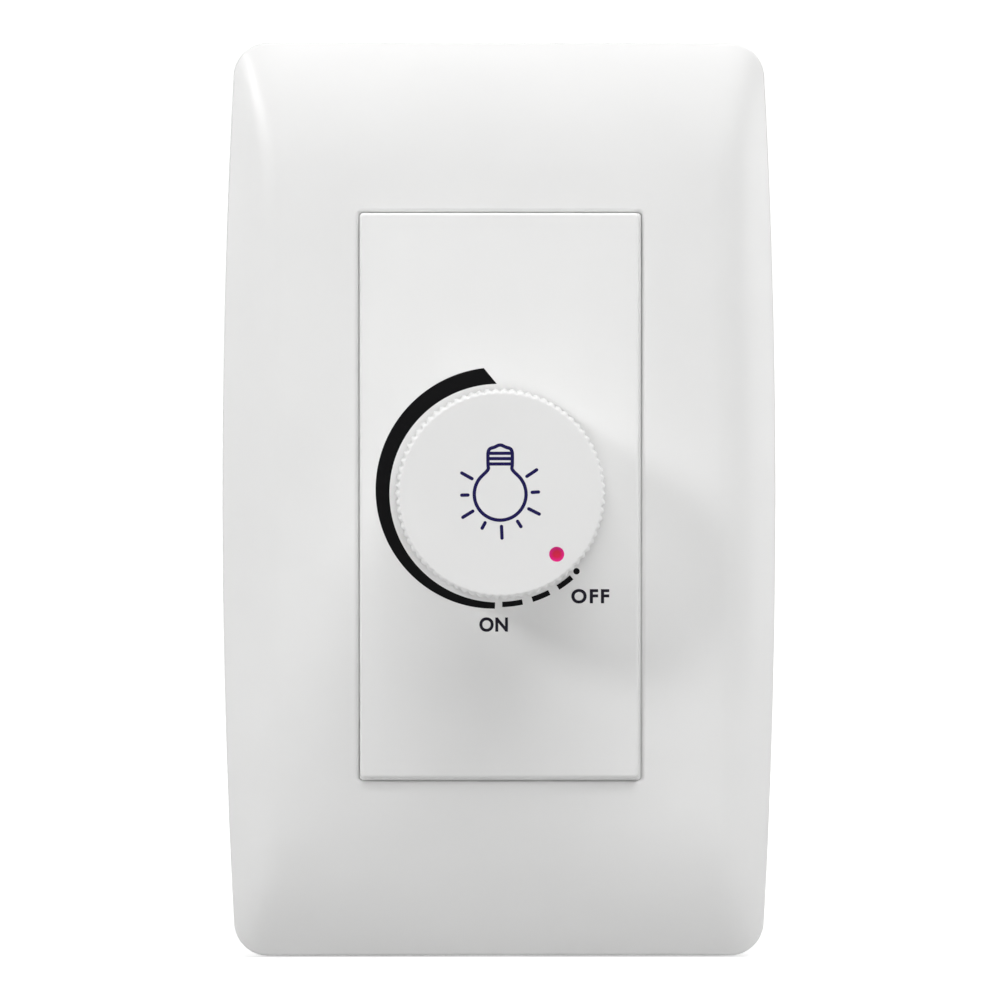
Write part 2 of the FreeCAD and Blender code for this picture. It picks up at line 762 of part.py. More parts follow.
def make_resistive_track():
    return sector(track_inner, track_outer, (track_front, track_back), 270 - track_angle / 2, track_angle)


def make_pot_rotor():
    reach = (rotor_front, rotor_back)
    rotor = rod(rotor_radius, reach, 0, shaft_rise)
    lug_end = pot_radius - pot_wall - moving_clearance
    lug = sector(rotor_radius - 0.5, lug_end, reach, lug_start, stop_lug_angle)
    bore = rod(shaft_radius + push_clearance, (rotor_front - 1, rotor_back + 1), 0, shaft_rise)
    return rotor.fuse(lug).cut(bore).removeSplitter()


def make_wiper():
    """Spring contact on the rotor's back, with two sprung fingers that run on the track."""
    back = rotor_back + wiper_thickness
    ring = rod(wiper_radius, (rotor_back, back), 0, shaft_rise)
    ring = ring.cut(rod(shaft_radius + push_clearance, (rotor_back - 1, back + 1), 0, shaft_rise))
    tip = track_front - seat_clearance
    land = finger_length - finger_width
    profile = [(0, rotor_back, 0), (0, back, 1.0), (0, tip - wiper_thickness, land), (0, tip, land),
               (0, tip, finger_length), (0, tip - 2 * wiper_thickness, finger_length), (0, rotor_back, 1.0)]
    middle = (track_inner + track_outer) / 2
    fingers = []
    for x in (middle - finger_pitch / 2, middle + finger_pitch / 2):
        fingers.append(prism(profile, (x - finger_width / 2, 0, shaft_rise - 2.0), (finger_width, 0, 0)))
    wiper = ring.fuse(fingers).removeSplitter()
    wiper.rotate(V(0, 0, shaft_rise), V(0, 1, 0), lug_start)
    return wiper


def make_pot_shaft():
    shaft = rod(shaft_radius, (shaft_end, rotor_back + wiper_thickness), 0, shaft_rise)
    shaft = shaft.makeChamfer(shaft_chamfer, edges_where(shaft, lambda p: p.y < shaft_end + 0.01))
    tail = rod(tail_radius, (rotor_back, can_back - tail_end), 0, shaft_rise)
    shaft = shaft.fuse(tail).removeSplitter()
    return shaft.cut(shaft_flat_tool(shaft_end, shaft_radius - shaft_flat))


def shaft_flat_tool(end, height):
    """Cutter above the shaft's flat, which faces away from the indicator dot."""
    reach = (end - 1, end + shaft_flat_length)
    tool = block((height, 2 * shaft_radius), reach, (-shaft_radius, shaft_radius))
    tool.translate(V(0, 0, shaft_rise))
    tool.rotate(V(0, 0, shaft_rise), V(0, 1, 0), dot_angle + 180)
    return tool


def make_switch_can():
    can = rod(pot_radius, (pot_back, can_back), 0, shaft_rise)
    return can.cut(rod(pot_radius - pot_wall, (pot_back - 1, can_floor), 0, shaft_rise))


def make_switch_cam():
    """Lobed cam on the shaft's tail, which holds the blade open with the dimmer off."""
    y = (cam_front, cam_back)
    lobe_x = cam_reach - cam_lobe_radius
    hub = rod(cam_hub_radius, y, 0, shaft_rise)
    lobe = rod(cam_lobe_radius, y, lobe_x, shaft_rise)
    arm = block((0, lobe_x), y, (shaft_rise - cam_lobe_radius, shaft_rise + cam_lobe_radius))
    bore = rod(tail_radius + push_clearance, (cam_front - 1, cam_back + 1), 0, shaft_rise)
    cam = hub.fuse([lobe, arm]).cut(bore).removeSplitter()
    cam.rotate(V(0, 0, shaft_rise), V(0, 1, 0), 180)
    return cam


def make_switch_blade():
    """Sprung strip beside the cam, with a contact point near its upper end and a foot on the can's floor."""
    x = (blade_x - blade_thickness, blade_x)
    low = shaft_rise - blade_below
    high = shaft_rise + blade_above
    strip = block(x, (cam_front, cam_back), (low, high))
    foot = block(x, (cam_front, can_floor), (low, low + blade_foot))
    middle = V(blade_x, (cam_front + cam_back) / 2, high - contact_inset)
    point = Part.makeCylinder(contact_radius, contact_gap, middle, V(1, 0, 0))
    return strip.fuse([foot, point]).removeSplitter()


def make_switch_contact():
    """Fixed contact post that the blade closes on when the dimmer is on."""
    x = blade_x + 2 * contact_gap
    high = shaft_rise + blade_above
    return block((x, x + post_thickness), (cam_front, can_floor), (high - 2 * contact_inset, high))


def make_pot_lugs():
    """Three lugs from the potentiometer's side and two from the switch, all down to the board."""
    half = lug_width / 2
    back = pot_back - lug_inset
    low = shaft_rise - pot_radius - lug_drop
    lugs = []
    for x in (-lug_pitch, 0.0, lug_pitch):
        root = shaft_rise - sqrt(pot_radius ** 2 - max(0.0, abs(x) - half) ** 2)
        arm = block((x - half, x + half), (back - lug_thickness, back), (low, root))
        leg = block((x - half, x + half), (back - lug_thickness, board_front), (low, low + lug_thickness))
        lugs.append(arm.fuse(leg).removeSplitter())
    low = shaft_rise + switch_lug_z
    for x in (-switch_lug_x, switch_lug_x):
        lugs.append(block((x - half, x + half), (can_back, board_front), (low, low + lug_thickness)))
    return Part.makeCompound(lugs)


def make_circuit_board():
    board = centred(board_width, (board_front, board_back), board_height)
    return round_corners(board, board_corner_radius)


def make_choke_core():
    gap = winding_wire + seat_clearance
    y = (board_back + gap, board_back + gap + choke_height)
    hole = rod(choke_hole + gap, (y[0] - 1, y[1] + 1), choke_x, choke_z)
    return rod(choke_radius - gap, y, choke_x, choke_z).cut(hole)


def make_choke_winding():
    """Turns of wire round the core, each a closed loop that stands clear of it."""
    gap = winding_wire + seat_clearance
    y = (board_back, board_back + choke_height + 2 * gap)
    outside = block((choke_hole, choke_radius), y, (-winding_wire / 2, winding_wire / 2))
    inside = block((choke_hole + winding_wire, choke_radius - winding_wire),
                   (y[0] + winding_wire, y[1] - winding_wire), (-1, 1))
    turn = outside.cut(inside)
    turns = []
    for i in range(choke_turns):
        copy = turn.copy()
        copy.rotate(V(0, 0, 0), V(0, 1, 0), 360.0 / choke_turns * i)
        copy.translate(V(choke_x, 0, choke_z))
        turns.append(copy)
    return Part.makeCompound(turns)


def make_capacitor(length, height, width, x, radius):
    """A box on the board, rounded round its top."""
    top = board_back + height
    body = centred(length, (board_back, top), width, capacitor_z, x)
    return body.makeFillet(radius, edges_where(body, lambda p: p.y > top - 0.01))


def make_film_capacitor():
    return make_capacitor(film_length, film_height, film_width, film_x, film_edge_radius)


def make_timing_capacitor():
    return make_capacitor(timing_length, timing_height, timing_width, timing_x, timing_edge_radius)


def axial_part(radius, length, x, z):
    """A component body lying along X over the board, on two bent leads."""
    y = board_back + radius + lead_rise
    body = Part.makeCylinder(radius, length, V(x - length / 2, y, z), V(1, 0, 0))
    ends = length / 2 + lead_reach
    wire = block((x - ends, x + ends), (y - lead_half, y + lead_half), (z - lead_half, z + lead_half))
    legs = [centred(2 * lead_half, (board_back, y), 2 * lead_half, z, x + sign * (ends - lead_half))
            for sign in (-1, 1)]
    return body.fuse([wire] + legs).removeSplitter()


def make_resistors():
    places = [(left_column, row_top), (right_column, row_top), (left_column, row_top - row_pitch)]
    return Part.makeCompound([axial_part(resistor_radius, resistor_length, x, z) for x, z in places])


def make_diac():
    return axial_part(diac_radius, diac_length, right_column, row_top - row_pitch)


def make_fuse_tube():
    start = V(fuse_x, board_back + fuse_radius + fuse_rise, fuse_z - fuse_length / 2 + fuse_cap_wall)
    return Part.makeCylinder(fuse_radius - fuse_cap_wall, fuse_length - 2 * fuse_cap_wall, start, V(0, 0, 1))


def make_fuse_caps():
    """The fuse's two end caps, each with the clip foot that stands on the board."""
    y = board_back + fuse_radius + fuse_rise
    caps = []
    reach = (fuse_length - fuse_cap_length) / 2
    for z in (fuse_z - reach, fuse_z + reach):
        start = V(fuse_x, y, z - fuse_cap_length / 2)
        cap = Part.makeCylinder(fuse_radius, fuse_cap_length, start, V(0, 0, 1))
        caps.append(cap.fuse(centred(clip_width, (board_back, y), clip_length, z, fuse_x)))
    tube = make_fuse_tube()
    return Part.makeCompound([cap.cut(tube) for cap in caps])


def make_triac():
    """Power device flat on the heat sink: tab, moulded body and three legs down to the board."""
    tab = centred(tab_length, (sink_back, sink_back + tab_thickness), tab_width, rivet_z, triac_x)
    through = (sink_back - 1, sink_back + tab_thickness + 1)
    tab = tab.cut(rod(rivet_radius + push_clearance, through, triac_x, rivet_z))
    body_start = triac_x + tab_length / 2
    body_end = body_start + triac_length
    back = sink_back + triac_thickness
    middle = (body_start + body_end) / 2
    body = centred(triac_length, (sink_back, back), tab_width, rivet_z, middle)
    body = body.makeFillet(triac_edge_radius, edges_where(body, lambda p: p.y > back - 0.01))
    leg_front = sink_back + triac_leg_depth - triac_leg_thickness / 2
    leg_end = body_end + triac_leg_length
    legs = []
    for i in (-1, 0, 1):
        leg_z = rivet_z + i * triac_leg_pitch
        zs = (leg_z - triac_leg_width / 2, leg_z + triac_leg_width / 2)
        legs.append(block((body_end, leg_end), (leg_front, leg_front + triac_leg_thickness), zs))
        legs.append(block((leg_end - triac_leg_thickness, leg_end), (leg_front, board_front), zs))
    return tab.fuse([body] + legs).removeSplitter()


def make_triac_rivet():
    front = sink_front - rivet_head_height
    back = sink_back + tab_thickness + rivet_head_height
    heads = [rod(rivet_head_radius, (front, sink_front), triac_x, rivet_z),
             rod(rivet_head_radius, (sink_back + tab_thickness, back), triac_x, rivet_z)]
    return rod(rivet_radius, (front, back), triac_x, rivet_z).fuse(heads).removeSplitter()


def make_terminal_cages():
    cages = []
    back = board_back + terminal_height
    for x in terminal_places:
        cage = centred(terminal_width, (board_back, back), terminal_length, terminal_z, x)
        cage = cage.makeChamfer(terminal_chamfer, [e for e in cage.Edges if along_y(e)])
        start = V(x, wire_y, terminal_z - terminal_length / 2 - 1)
        bore = Part.makeCylinder(wire_radius, terminal_length + 2, start, V(0, 0, 1))
        thread = rod(terminal_screw_radius + push_clearance, (wire_y, back + 1), x, terminal_z)
        cages.append(cage.cut([bore, thread]))
    return Part.makeCompound(cages)


def make_terminal_screws():
    screws = []
    seat = board_back + terminal_height + terminal_head_rise
    top = seat + terminal_head_height
    for x in terminal_places:
        shank = rod(terminal_screw_radius, (wire_y + wire_radius + seat_clearance, seat), x, terminal_z)
        head = rod(terminal_head_radius, (seat, top), x, terminal_z)
        slot = centred(2 * terminal_head_radius + 1, (top - driver_slot_depth, top + 1), driver_slot_width,
                       terminal_z, x)
        screws.append(shank.fuse(head).cut(slot))
    return Part.makeCompound(screws)


def make_knob():
    rim = knob_top_radius - knob_chamfer
    shell = turned([(0, knob_top), (rim, knob_top), (knob_top_radius, knob_top + knob_chamfer),
                    (knob_base_radius, knob_base), (0, knob_base)])
    shell = shell.cut(flutes())
    inner_top = knob_top + knob_top_wall
    cavity = turned([(0, inner_top), (knob_top_radius - knob_wall, inner_top),
                     (knob_base_radius - knob_wall, knob_base + 1), (0, knob_base + 1)])
    hub_end = knob_base - seat_clearance
    hub = rod(knob_hub_radius, (inner_top - knob_top_wall / 4, hub_end), 0, shaft_rise)
    rib_reach = (inner_top - knob_top_wall / 4, knob_base - knob_rib_end)
    ribs = []
    for i in range(knob_rib_count):
        rib = block((knob_hub_radius - 1, knob_top_radius - knob_wall / 2), rib_reach,
                    (-knob_rib / 2, knob_rib / 2))
        rib.translate(V(0, 0, shaft_rise))
        rib.rotate(V(0, 0, shaft_rise), V(0, 1, 0), 360.0 / knob_rib_count * i)
        ribs.append(rib)
    knob = shell.cut(cavity).fuse([hub] + ribs)
    return knob.cut([hub_bore(), dot_tool()]).removeSplitter()


def flutes():
    """Flat-bottomed V grooves down the tapered rim."""
    top = V(knob_top_radius, knob_top + knob_chamfer, shaft_rise)
    down = V(knob_base_radius, knob_base, shaft_rise) - top
    spread = flute_floor / 2 + (flute_width - flute_floor) / 2 * (1 + knob_chamfer / flute_depth)
    profile = [(-flute_depth, 0, -flute_floor / 2), (knob_chamfer, 0, -spread), (knob_chamfer, 0, spread),
               (-flute_depth, 0, flute_floor / 2)]
    groove = prism(profile, top - down * 0.2, down * 1.4)
    grooves = []
    for i in range(flute_count):
        copy = groove.copy()
        copy.rotate(V(0, 0, shaft_rise), V(0, 1, 0), 360.0 / flute_count * (i + 0.5))
        grooves.append(copy)
    return grooves


def hub_bore():
    """The D-shaped hole in the hub for the flatted shaft."""
    start = shaft_end - moving_clearance
    bore = rod(shaft_radius + push_clearance, (start, knob_base + 1), 0, shaft_rise)
    return bore.cut(shaft_flat_tool(start, shaft_radius - shaft_flat + push_clearance))


def dot_tool():
    """A shallow round dimple for the indicator dot."""
    x = dot_reach * cos(radians(dot_angle))
    z = shaft_rise - dot_reach * sin(radians(dot_angle))
    ball = (dot_radius ** 2 + dot_depth ** 2) / (2 * dot_depth)
    return Part.makeSphere(ball, V(x, knob_top + dot_depth - ball, z))


box_pieces = {
    "face_plate": make_face_plate,
    "support_frame": make_support_frame,
}
module_pieces = {
    "front_panel": make_front_panel,
    "rear_housing": make_rear_housing,
    "housing_screws": make_housing_screws,
    "heat_sink": make_heat_sink,
    "pot_bushing": make_pot_bushing,
    "lock_washer": make_lock_washer,
    "pot_nut": make_pot_nut,
    "pot_body": make_pot_body,
    "resistive_track": make_resistive_track,
    "pot_rotor": make_pot_rotor,
    "wiper": make_wiper,
    "pot_shaft": make_pot_shaft,
    "pot_lugs": make_pot_lugs,
    "switch_can": make_switch_can,
    "switch_cam": make_switch_cam,
    "switch_blade": make_switch_blade,
    "switch_contact": make_switch_contact,
    "circuit_board": make_circuit_board,
    "choke_core": make_choke_core,
    "choke_winding": make_choke_winding,
    "film_capacitor": make_film_capacitor,
    "timing_capacitor": make_timing_capacitor,
    "resistors": make_resistors,
    "diac": make_diac,
    "fuse_tube": make_fuse_tube,
    "fuse_caps": make_fuse_caps,
    "triac": make_triac,
    "triac_rivet": make_triac_rivet,
    "terminal_cages": make_terminal_cages,
    "terminal_screws": make_terminal_screws,
    "knob": make_knob,
}

os.makedirs("parts", exist_ok=True)
for name, make in box_pieces.items():
    make().exportStep(f"parts/{name}.step")
for name, make in module_pieces.items():
    piece = make()
    piece.translate(V(0, 0, module_z))
    piece.exportStep(f"parts/{name}.step")
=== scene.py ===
import bpy
import bmesh
from math import atan2, cos, pi, radians, sin, sqrt, tan
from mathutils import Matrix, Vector


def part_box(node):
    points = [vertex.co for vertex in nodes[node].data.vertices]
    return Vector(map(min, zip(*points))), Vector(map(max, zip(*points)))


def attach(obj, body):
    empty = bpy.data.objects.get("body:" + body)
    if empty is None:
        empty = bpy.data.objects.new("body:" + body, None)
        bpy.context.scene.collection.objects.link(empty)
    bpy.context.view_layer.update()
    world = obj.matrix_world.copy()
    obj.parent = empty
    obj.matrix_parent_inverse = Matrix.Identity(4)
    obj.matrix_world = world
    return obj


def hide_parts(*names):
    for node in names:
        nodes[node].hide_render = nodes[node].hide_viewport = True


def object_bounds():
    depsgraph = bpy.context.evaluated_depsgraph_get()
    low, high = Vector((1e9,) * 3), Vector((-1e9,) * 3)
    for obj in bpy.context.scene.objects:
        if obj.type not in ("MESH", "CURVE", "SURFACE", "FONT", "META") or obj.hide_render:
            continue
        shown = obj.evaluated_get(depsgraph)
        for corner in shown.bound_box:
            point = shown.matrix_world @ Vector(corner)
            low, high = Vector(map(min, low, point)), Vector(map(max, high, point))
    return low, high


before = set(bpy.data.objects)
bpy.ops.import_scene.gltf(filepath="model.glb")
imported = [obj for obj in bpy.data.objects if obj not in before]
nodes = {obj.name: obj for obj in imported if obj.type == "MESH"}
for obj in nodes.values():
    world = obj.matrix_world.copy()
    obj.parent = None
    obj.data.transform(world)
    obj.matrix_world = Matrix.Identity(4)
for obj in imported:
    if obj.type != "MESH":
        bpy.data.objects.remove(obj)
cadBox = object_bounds()
scene = bpy.context.scene
mm = 0.001
print("frame:", len(nodes), "CAD nodes")

hair = 0.001 * mm                      # points nearer than this count as one
shaftHeight = 1.0 * mm                 # of the shaft's axis, above the plate's middle
printCentre = {"x": -0.1 * mm, "z": 0.92 * mm}         # middle of the printed scale
shading = {"sharpAngle": 38, "square": 0.9999}         # degrees, and cosine to an axis
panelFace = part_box("front_panel")[0][1]
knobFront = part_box("knob")[0][1]
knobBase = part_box("knob")[1][1]


# helpers for the materials' node trees
def newMaterial(name):
    material = bpy.data.materials.new(name)
    material.use_nodes = True
    tree = material.node_tree
    shader = tree.nodes["Principled BSDF"]
    place = tree.nodes.new("ShaderNodeTexCoord").outputs["Object"]
    return material, tree, shader, place


def addNoise(tree, place, scale, detail, stretch=None):
    if stretch:
        mapping = tree.nodes.new("ShaderNodeMapping")
        mapping.inputs["Scale"].default_value = stretch
        tree.links.new(place, mapping.inputs["Vector"])
        place = mapping.outputs["Vector"]
    noise = tree.nodes.new("ShaderNodeTexNoise")
    noise.inputs["Scale"].default_value = scale
    noise.inputs["Detail"].default_value = detail
    tree.links.new(place, noise.inputs["Vector"])
    return noise.outputs["Fac"]


def remap(tree, value, low, high, fromLow=0.3, fromHigh=0.7):
    node = tree.nodes.new("ShaderNodeMapRange")
    node.inputs["From Min"].default_value = fromLow
    node.inputs["From Max"].default_value = fromHigh
    node.inputs["To Min"].default_value = low
    node.inputs["To Max"].default_value = high
    tree.links.new(value, node.inputs["Value"])
    return node.outputs["Result"]


def mixColours(tree, value, first, second):
    node = tree.nodes.new("ShaderNodeMix")
    node.data_type = "RGBA"
    node.inputs["A"].default_value = (*first, 1)
    node.inputs["B"].default_value = (*second, 1)
    tree.links.new(value, node.inputs["Factor"])
    return node.outputs["Result"]


def addBump(tree, value, strength, distance):
    node = tree.nodes.new("ShaderNodeBump")
    node.inputs["Strength"].default_value = strength
    node.inputs["Distance"].default_value = distance
    tree.links.new(value, node.inputs["Height"])
    return node.outputs["Normal"]


# base colour that drifts with a noise from a shade of the colour to the colour itself
def drawColour(tree, shader, noise, colour, dark):
    shaded = tuple(c * dark for c in colour)
    tree.links.new(mixColours(tree, remap(tree, noise, 0, 1), shaded, colour),
                   shader.inputs["Base Color"])


def drawGloss(tree, shader, noise, low, high):
    tree.links.new(remap(tree, noise, low, high), shader.inputs["Roughness"])


# noise scales are per metre; bright and dull are shares of a finish's roughness, and in glass
# they are the roughness itself
plasticLook = {"cloud": 55, "smear": 150, "bright": 0.95, "dull": 1.06,
               "grainDepth": 0.02 * mm, "refraction": 1.49, "coatGloss": 0.12}
metalLook = {"cloud": 160, "lines": 2600, "bright": 0.75, "dull": 1.3, "lineDepth": 0.02 * mm}
inkLook = {"screen": 3800, "dark": 0.82, "gloss": 0.5, "bright": 0.9, "dull": 1.15,
           "shine": 0.06}
glassLook = {"streaks": 300, "stretch": (1, 1, 0.1), "bright": 0.03, "dull": 0.1,
             "colour": (0.93, 0.96, 0.95), "refraction": 1.47}


# moulded plastic: fine spark-eroded grain, soft tone drift and uneven gloss
def plasticFinish(name, colour, gloss, grain, grainScale=5200, drift=0.97, coat=0.0):
    look = plasticLook
    material, tree, shader, place = newMaterial(name)
    drawColour(tree, shader, addNoise(tree, place, look["cloud"], 2), colour, drift)
    drawGloss(tree, shader, addNoise(tree, place, look["smear"], 2),
              gloss * look["bright"], gloss * look["dull"])
    bump = addBump(tree, addNoise(tree, place, grainScale, 2), grain, look["grainDepth"])
    tree.links.new(bump, shader.inputs["Normal"])
    shader.inputs["IOR"].default_value = look["refraction"]
    if coat:
        shader.inputs["Coat Weight"].default_value = coat
        shader.inputs["Coat Roughness"].default_value = look["coatGloss"]
    return material


# metal: drawn or turned marks along one direction
def metalFinish(name, colour, gloss, marks, depth, tarnish):
    look = metalLook
    material, tree, shader, place = newMaterial(name)
    drawColour(tree, shader, addNoise(tree, place, look["cloud"], 4), colour, tarnish)
    lines = addNoise(tree, place, look["lines"], 3, marks)
    drawGloss(tree, shader, lines, gloss * look["bright"], gloss * look["dull"])
    tree.links.new(addBump(tree, lines, depth, look["lineDepth"]), shader.inputs["Normal"])
    shader.inputs["Metallic"].default_value = 1.0
    return material


# printed ink: flat colour broken by the grain of the screen
def inkFinish(name, colour):
    look = inkLook
    material, tree, shader, place = newMaterial(name)
    screen = addNoise(tree, place, look["screen"], 2)
    drawColour(tree, shader, screen, colour, look["dark"])
    drawGloss(tree, shader, screen,
              look["gloss"] * look["bright"], look["gloss"] * look["dull"])
    shader.inputs["Specular IOR Level"].default_value = look["shine"]
    return material


# clear glass with faint drawn streaks
def glassFinish(name):
    look = glassLook
    material, tree, shader, place = newMaterial(name)
    streaks = addNoise(tree, place, look["streaks"], 3, look["stretch"])
    drawGloss(tree, shader, streaks, look["bright"], look["dull"])
    shader.inputs["Base Color"].default_value = (*look["colour"], 1)
    shader.inputs["Transmission Weight"].default_value = 1.0
    shader.inputs["IOR"].default_value = look["refraction"]
    return material


white = (0.835, 0.835, 0.83)
finishes = {
    "plate": plasticFinish("plateMoulding", white, 0.34, 0.06),
    "panel": plasticFinish("panelMoulding", (0.85, 0.85, 0.845), 0.3, 0.05),
    "knob": plasticFinish("knobMoulding", white, 0.42, 0.08),
    "frame": plasticFinish("frameMoulding", (0.55, 0.56, 0.57), 0.48, 0.3, 3600, 0.92),
    "housing": plasticFinish("housingMoulding", (0.05, 0.05, 0.055), 0.46, 0.35, 3200, 0.85),
    "phenolic": plasticFinish("darkPhenolic", (0.035, 0.03, 0.028), 0.38, 0.2, 3000, 0.8, 0.1),
    "nylon": plasticFinish("naturalNylon", (0.72, 0.69, 0.58), 0.42, 0.2, 2600, 0.93),
    "carbon": plasticFinish("printedCarbon", (0.02, 0.02, 0.022), 0.6, 0.4, 6000, 0.7),
    "laminate": plasticFinish("boardLaminate", (0.42, 0.27, 0.11), 0.45, 0.3, 2400, 0.8),
    "powder": plasticFinish("chokePaint", (0.62, 0.5, 0.08), 0.55, 0.5, 2600, 0.85),
    "boxed": plasticFinish("capacitorBox", (0.66, 0.47, 0.05), 0.3, 0.15, 2600, 0.93, 0.2),
    "dipped": plasticFinish("capacitorDip", (0.36, 0.07, 0.03), 0.22, 0.3, 900, 0.85, 0.6),
    "lacquer": plasticFinish("resistorLacquer", (0.52, 0.4, 0.26), 0.3, 0.25, 1400, 0.85, 0.4),
    "blue": plasticFinish("diacLacquer", (0.05, 0.12, 0.34), 0.25, 0.2, 1400, 0.85, 0.5),
    "epoxy": plasticFinish("triacEpoxy", (0.028, 0.028, 0.03), 0.55, 0.45, 4200, 0.8),
    "zinc": metalFinish("zincPlate", (0.68, 0.67, 0.6), 0.3, (1, 1, 1), 0.15, 0.88),
    "aluminium": metalFinish("rolledAluminium", (0.8, 0.81, 0.82), 0.34, (1, 1, 0.04), 0.3, 0.92),
    "turned": metalFinish("turnedAluminium", (0.82, 0.82, 0.83), 0.26, (0.05, 1, 0.05), 0.3, 0.94),
    "nickel": metalFinish("nickelPlate", (0.72, 0.7, 0.66), 0.24, (0.05, 1, 0.05), 0.2, 0.92),
    "tin": metalFinish("tinPlate", (0.74, 0.74, 0.72), 0.32, (1, 1, 1), 0.2, 0.88),
    "brass": metalFinish("machinedBrass", (0.74, 0.53, 0.24), 0.26, (1, 0.05, 1), 0.25, 0.85),
    "copper": metalFinish("enamelledCopper", (0.62, 0.24, 0.09), 0.2, (1, 1, 1), 0.1, 0.85),
    "blackInk": inkFinish("scaleInk", (0.0035, 0.0035, 0.004)),
    "letterInk": inkFinish("letterInk", (0.018, 0.016, 0.026)),
    "blueInk": inkFinish("lampInk", (0.016, 0.012, 0.085)),
    "glass": glassFinish("fuseGlass"),
}

nodeFinish = {
    "face_plate": "plate", "front_panel": "panel", "knob": "knob", "support_frame": "frame",
    "rear_housing": "housing", "housing_screws": "zinc", "heat_sink": "aluminium",
    "pot_bushing": "nickel", "lock_washer": "nickel", "pot_nut": "nickel", "pot_body": "phenolic",
    "resistive_track": "carbon", "pot_rotor": "nylon", "wiper": "brass", "pot_shaft": "turned",
    "pot_lugs": "tin", "switch_can": "phenolic", "switch_cam": "nylon", "switch_blade": "brass",
    "switch_contact": "brass", "circuit_board": "laminate", "choke_core": "powder",
    "choke_winding": "copper", "film_capacitor": "boxed", "timing_capacitor": "dipped",
    "resistors": "lacquer", "diac": "blue", "fuse_tube": "glass", "fuse_caps": "tin",
    "triac": "epoxy", "triac_rivet": "aluminium", "terminal_cages": "brass",
    "terminal_screws": "zinc",
}
for name, obj in nodes.items():
    obj.data.materials.clear()
    obj.data.materials.append(finishes[nodeFinish[name]])
print("finishes:", len(finishes), "materials")


# turns a bmesh into a mesh, and lets the bmesh go
def takeMesh(bm, name):
    mesh = bpy.data.meshes.new(name)
    bm.to_mesh(mesh)
    bm.free()
    return mesh


# smooth shading with crisp edges, where faces square to the axes given stay flat
def shadeMesh(mesh, flatAxes=()):
    mesh.set_sharp_from_angle(angle=radians(shading["sharpAngle"]))
    for face in mesh.polygons:
        face.use_smooth = all(abs(face.normal[i]) < shading["square"] for i in flatAxes)


# links a finished mesh, which rides on its body; clear() also sets the material number that
# each face keeps back to the first
def keepPiece(name, mesh, body, finish):
    mesh.name = name
    mesh.materials.clear()
    mesh.materials.append(finishes[finish])
    obj = bpy.data.objects.new(name, mesh)
    scene.collection.objects.link(obj)
    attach(obj, body)
    return obj


# a number is set on the socket itself, and another socket is linked to it
def feed(tree, socket, value):
    if isinstance(value, (int, float)):
        socket.default_value = value
    else:
        tree.links.new(value, socket)


def addMath(tree, operation, *values):
    node = tree.nodes.new("ShaderNodeMath")
    node.operation = operation
    for socket, value in zip(node.inputs, values):
        feed(tree, socket, value)
    return node.outputs[0]


def addLength(tree, vector):
    node = tree.nodes.new("ShaderNodeVectorMath")
    node.operation = "LENGTH"
    tree.links.new(vector, node.inputs[0])
    return node.outputs["Value"]


def newTree(name, inputs):
    tree = bpy.data.node_groups.new(name, "GeometryNodeTree")
    for label, kind in inputs.items():
        tree.interface.new_socket(label, in_out="INPUT", socket_type=kind)
    tree.interface.new_socket("Geometry", in_out="OUTPUT", socket_type="NodeSocketGeometry")
    return tree, tree.nodes.new("NodeGroupInput").outputs, tree.nodes.new("NodeGroupOutput").inputs


# a grid of points, and how far each lies along its columns and across its rows, from 0 to 1
def addGrid(tree, columns, rows):
    grid = tree.nodes.new("GeometryNodeMeshGrid")
    feed(tree, grid.inputs["Vertices X"], columns)
    feed(tree, grid.inputs["Vertices Y"], rows)
    position = tree.nodes.new("GeometryNodeInputPosition")
    split = tree.nodes.new("ShaderNodeSeparateXYZ")
    tree.links.new(position.outputs[0], split.inputs[0])
    along = addMath(tree, "ADD", split.outputs["X"], 0.5)
    across = addMath(tree, "ADD", split.outputs["Y"], 0.5)
    return grid.outputs["Mesh"], along, across


def movePoints(tree, geometry, x, y, z):
    join = tree.nodes.new("ShaderNodeCombineXYZ")
    for socket, value in zip(join.inputs, (x, y, z)):
        tree.links.new(value, socket)
    move = tree.nodes.new("GeometryNodeSetPosition")
    tree.links.new(geometry, move.inputs["Geometry"])
    tree.links.new(join.outputs[0], move.inputs["Position"])
    return move.outputs[0]


def endTree(tree, geometry, finish, result):
    real = tree.nodes.new("GeometryNodeRealizeInstances")
    tree.links.new(geometry, real.inputs[0])
    coat = tree.nodes.new("GeometryNodeSetMaterial")
    tree.links.new(real.outputs[0], coat.inputs["Geometry"])
    tree.links.new(finish, coat.inputs["Material"])
    tree.links.new(coat.outputs[0], result["Geometry"])


# an object's mesh as its modifiers or its curve leave it
def plainMesh(obj):
    made = obj.evaluated_get(bpy.context.evaluated_depsgraph_get())
    return bpy.data.meshes.new_from_object(made)


# runs a tree with these values and gives the result as a plain mesh
def runTree(tree, values):
    carrier = bpy.data.objects.new("carrier", bpy.data.meshes.new("carrier"))
    scene.collection.objects.link(carrier)
    modifier = carrier.modifiers.new("tree", "NODES")
    modifier.node_group = tree
    for socket in tree.interface.items_tree:
        if socket.in_out == "INPUT" and socket.name in values:
            modifier[socket.identifier] = values[socket.name]
    bpy.context.view_layer.update()
    mesh = plainMesh(carrier)
    carrier.modifiers.remove(modifier)
    bpy.data.objects.remove(carrier)
    return mesh


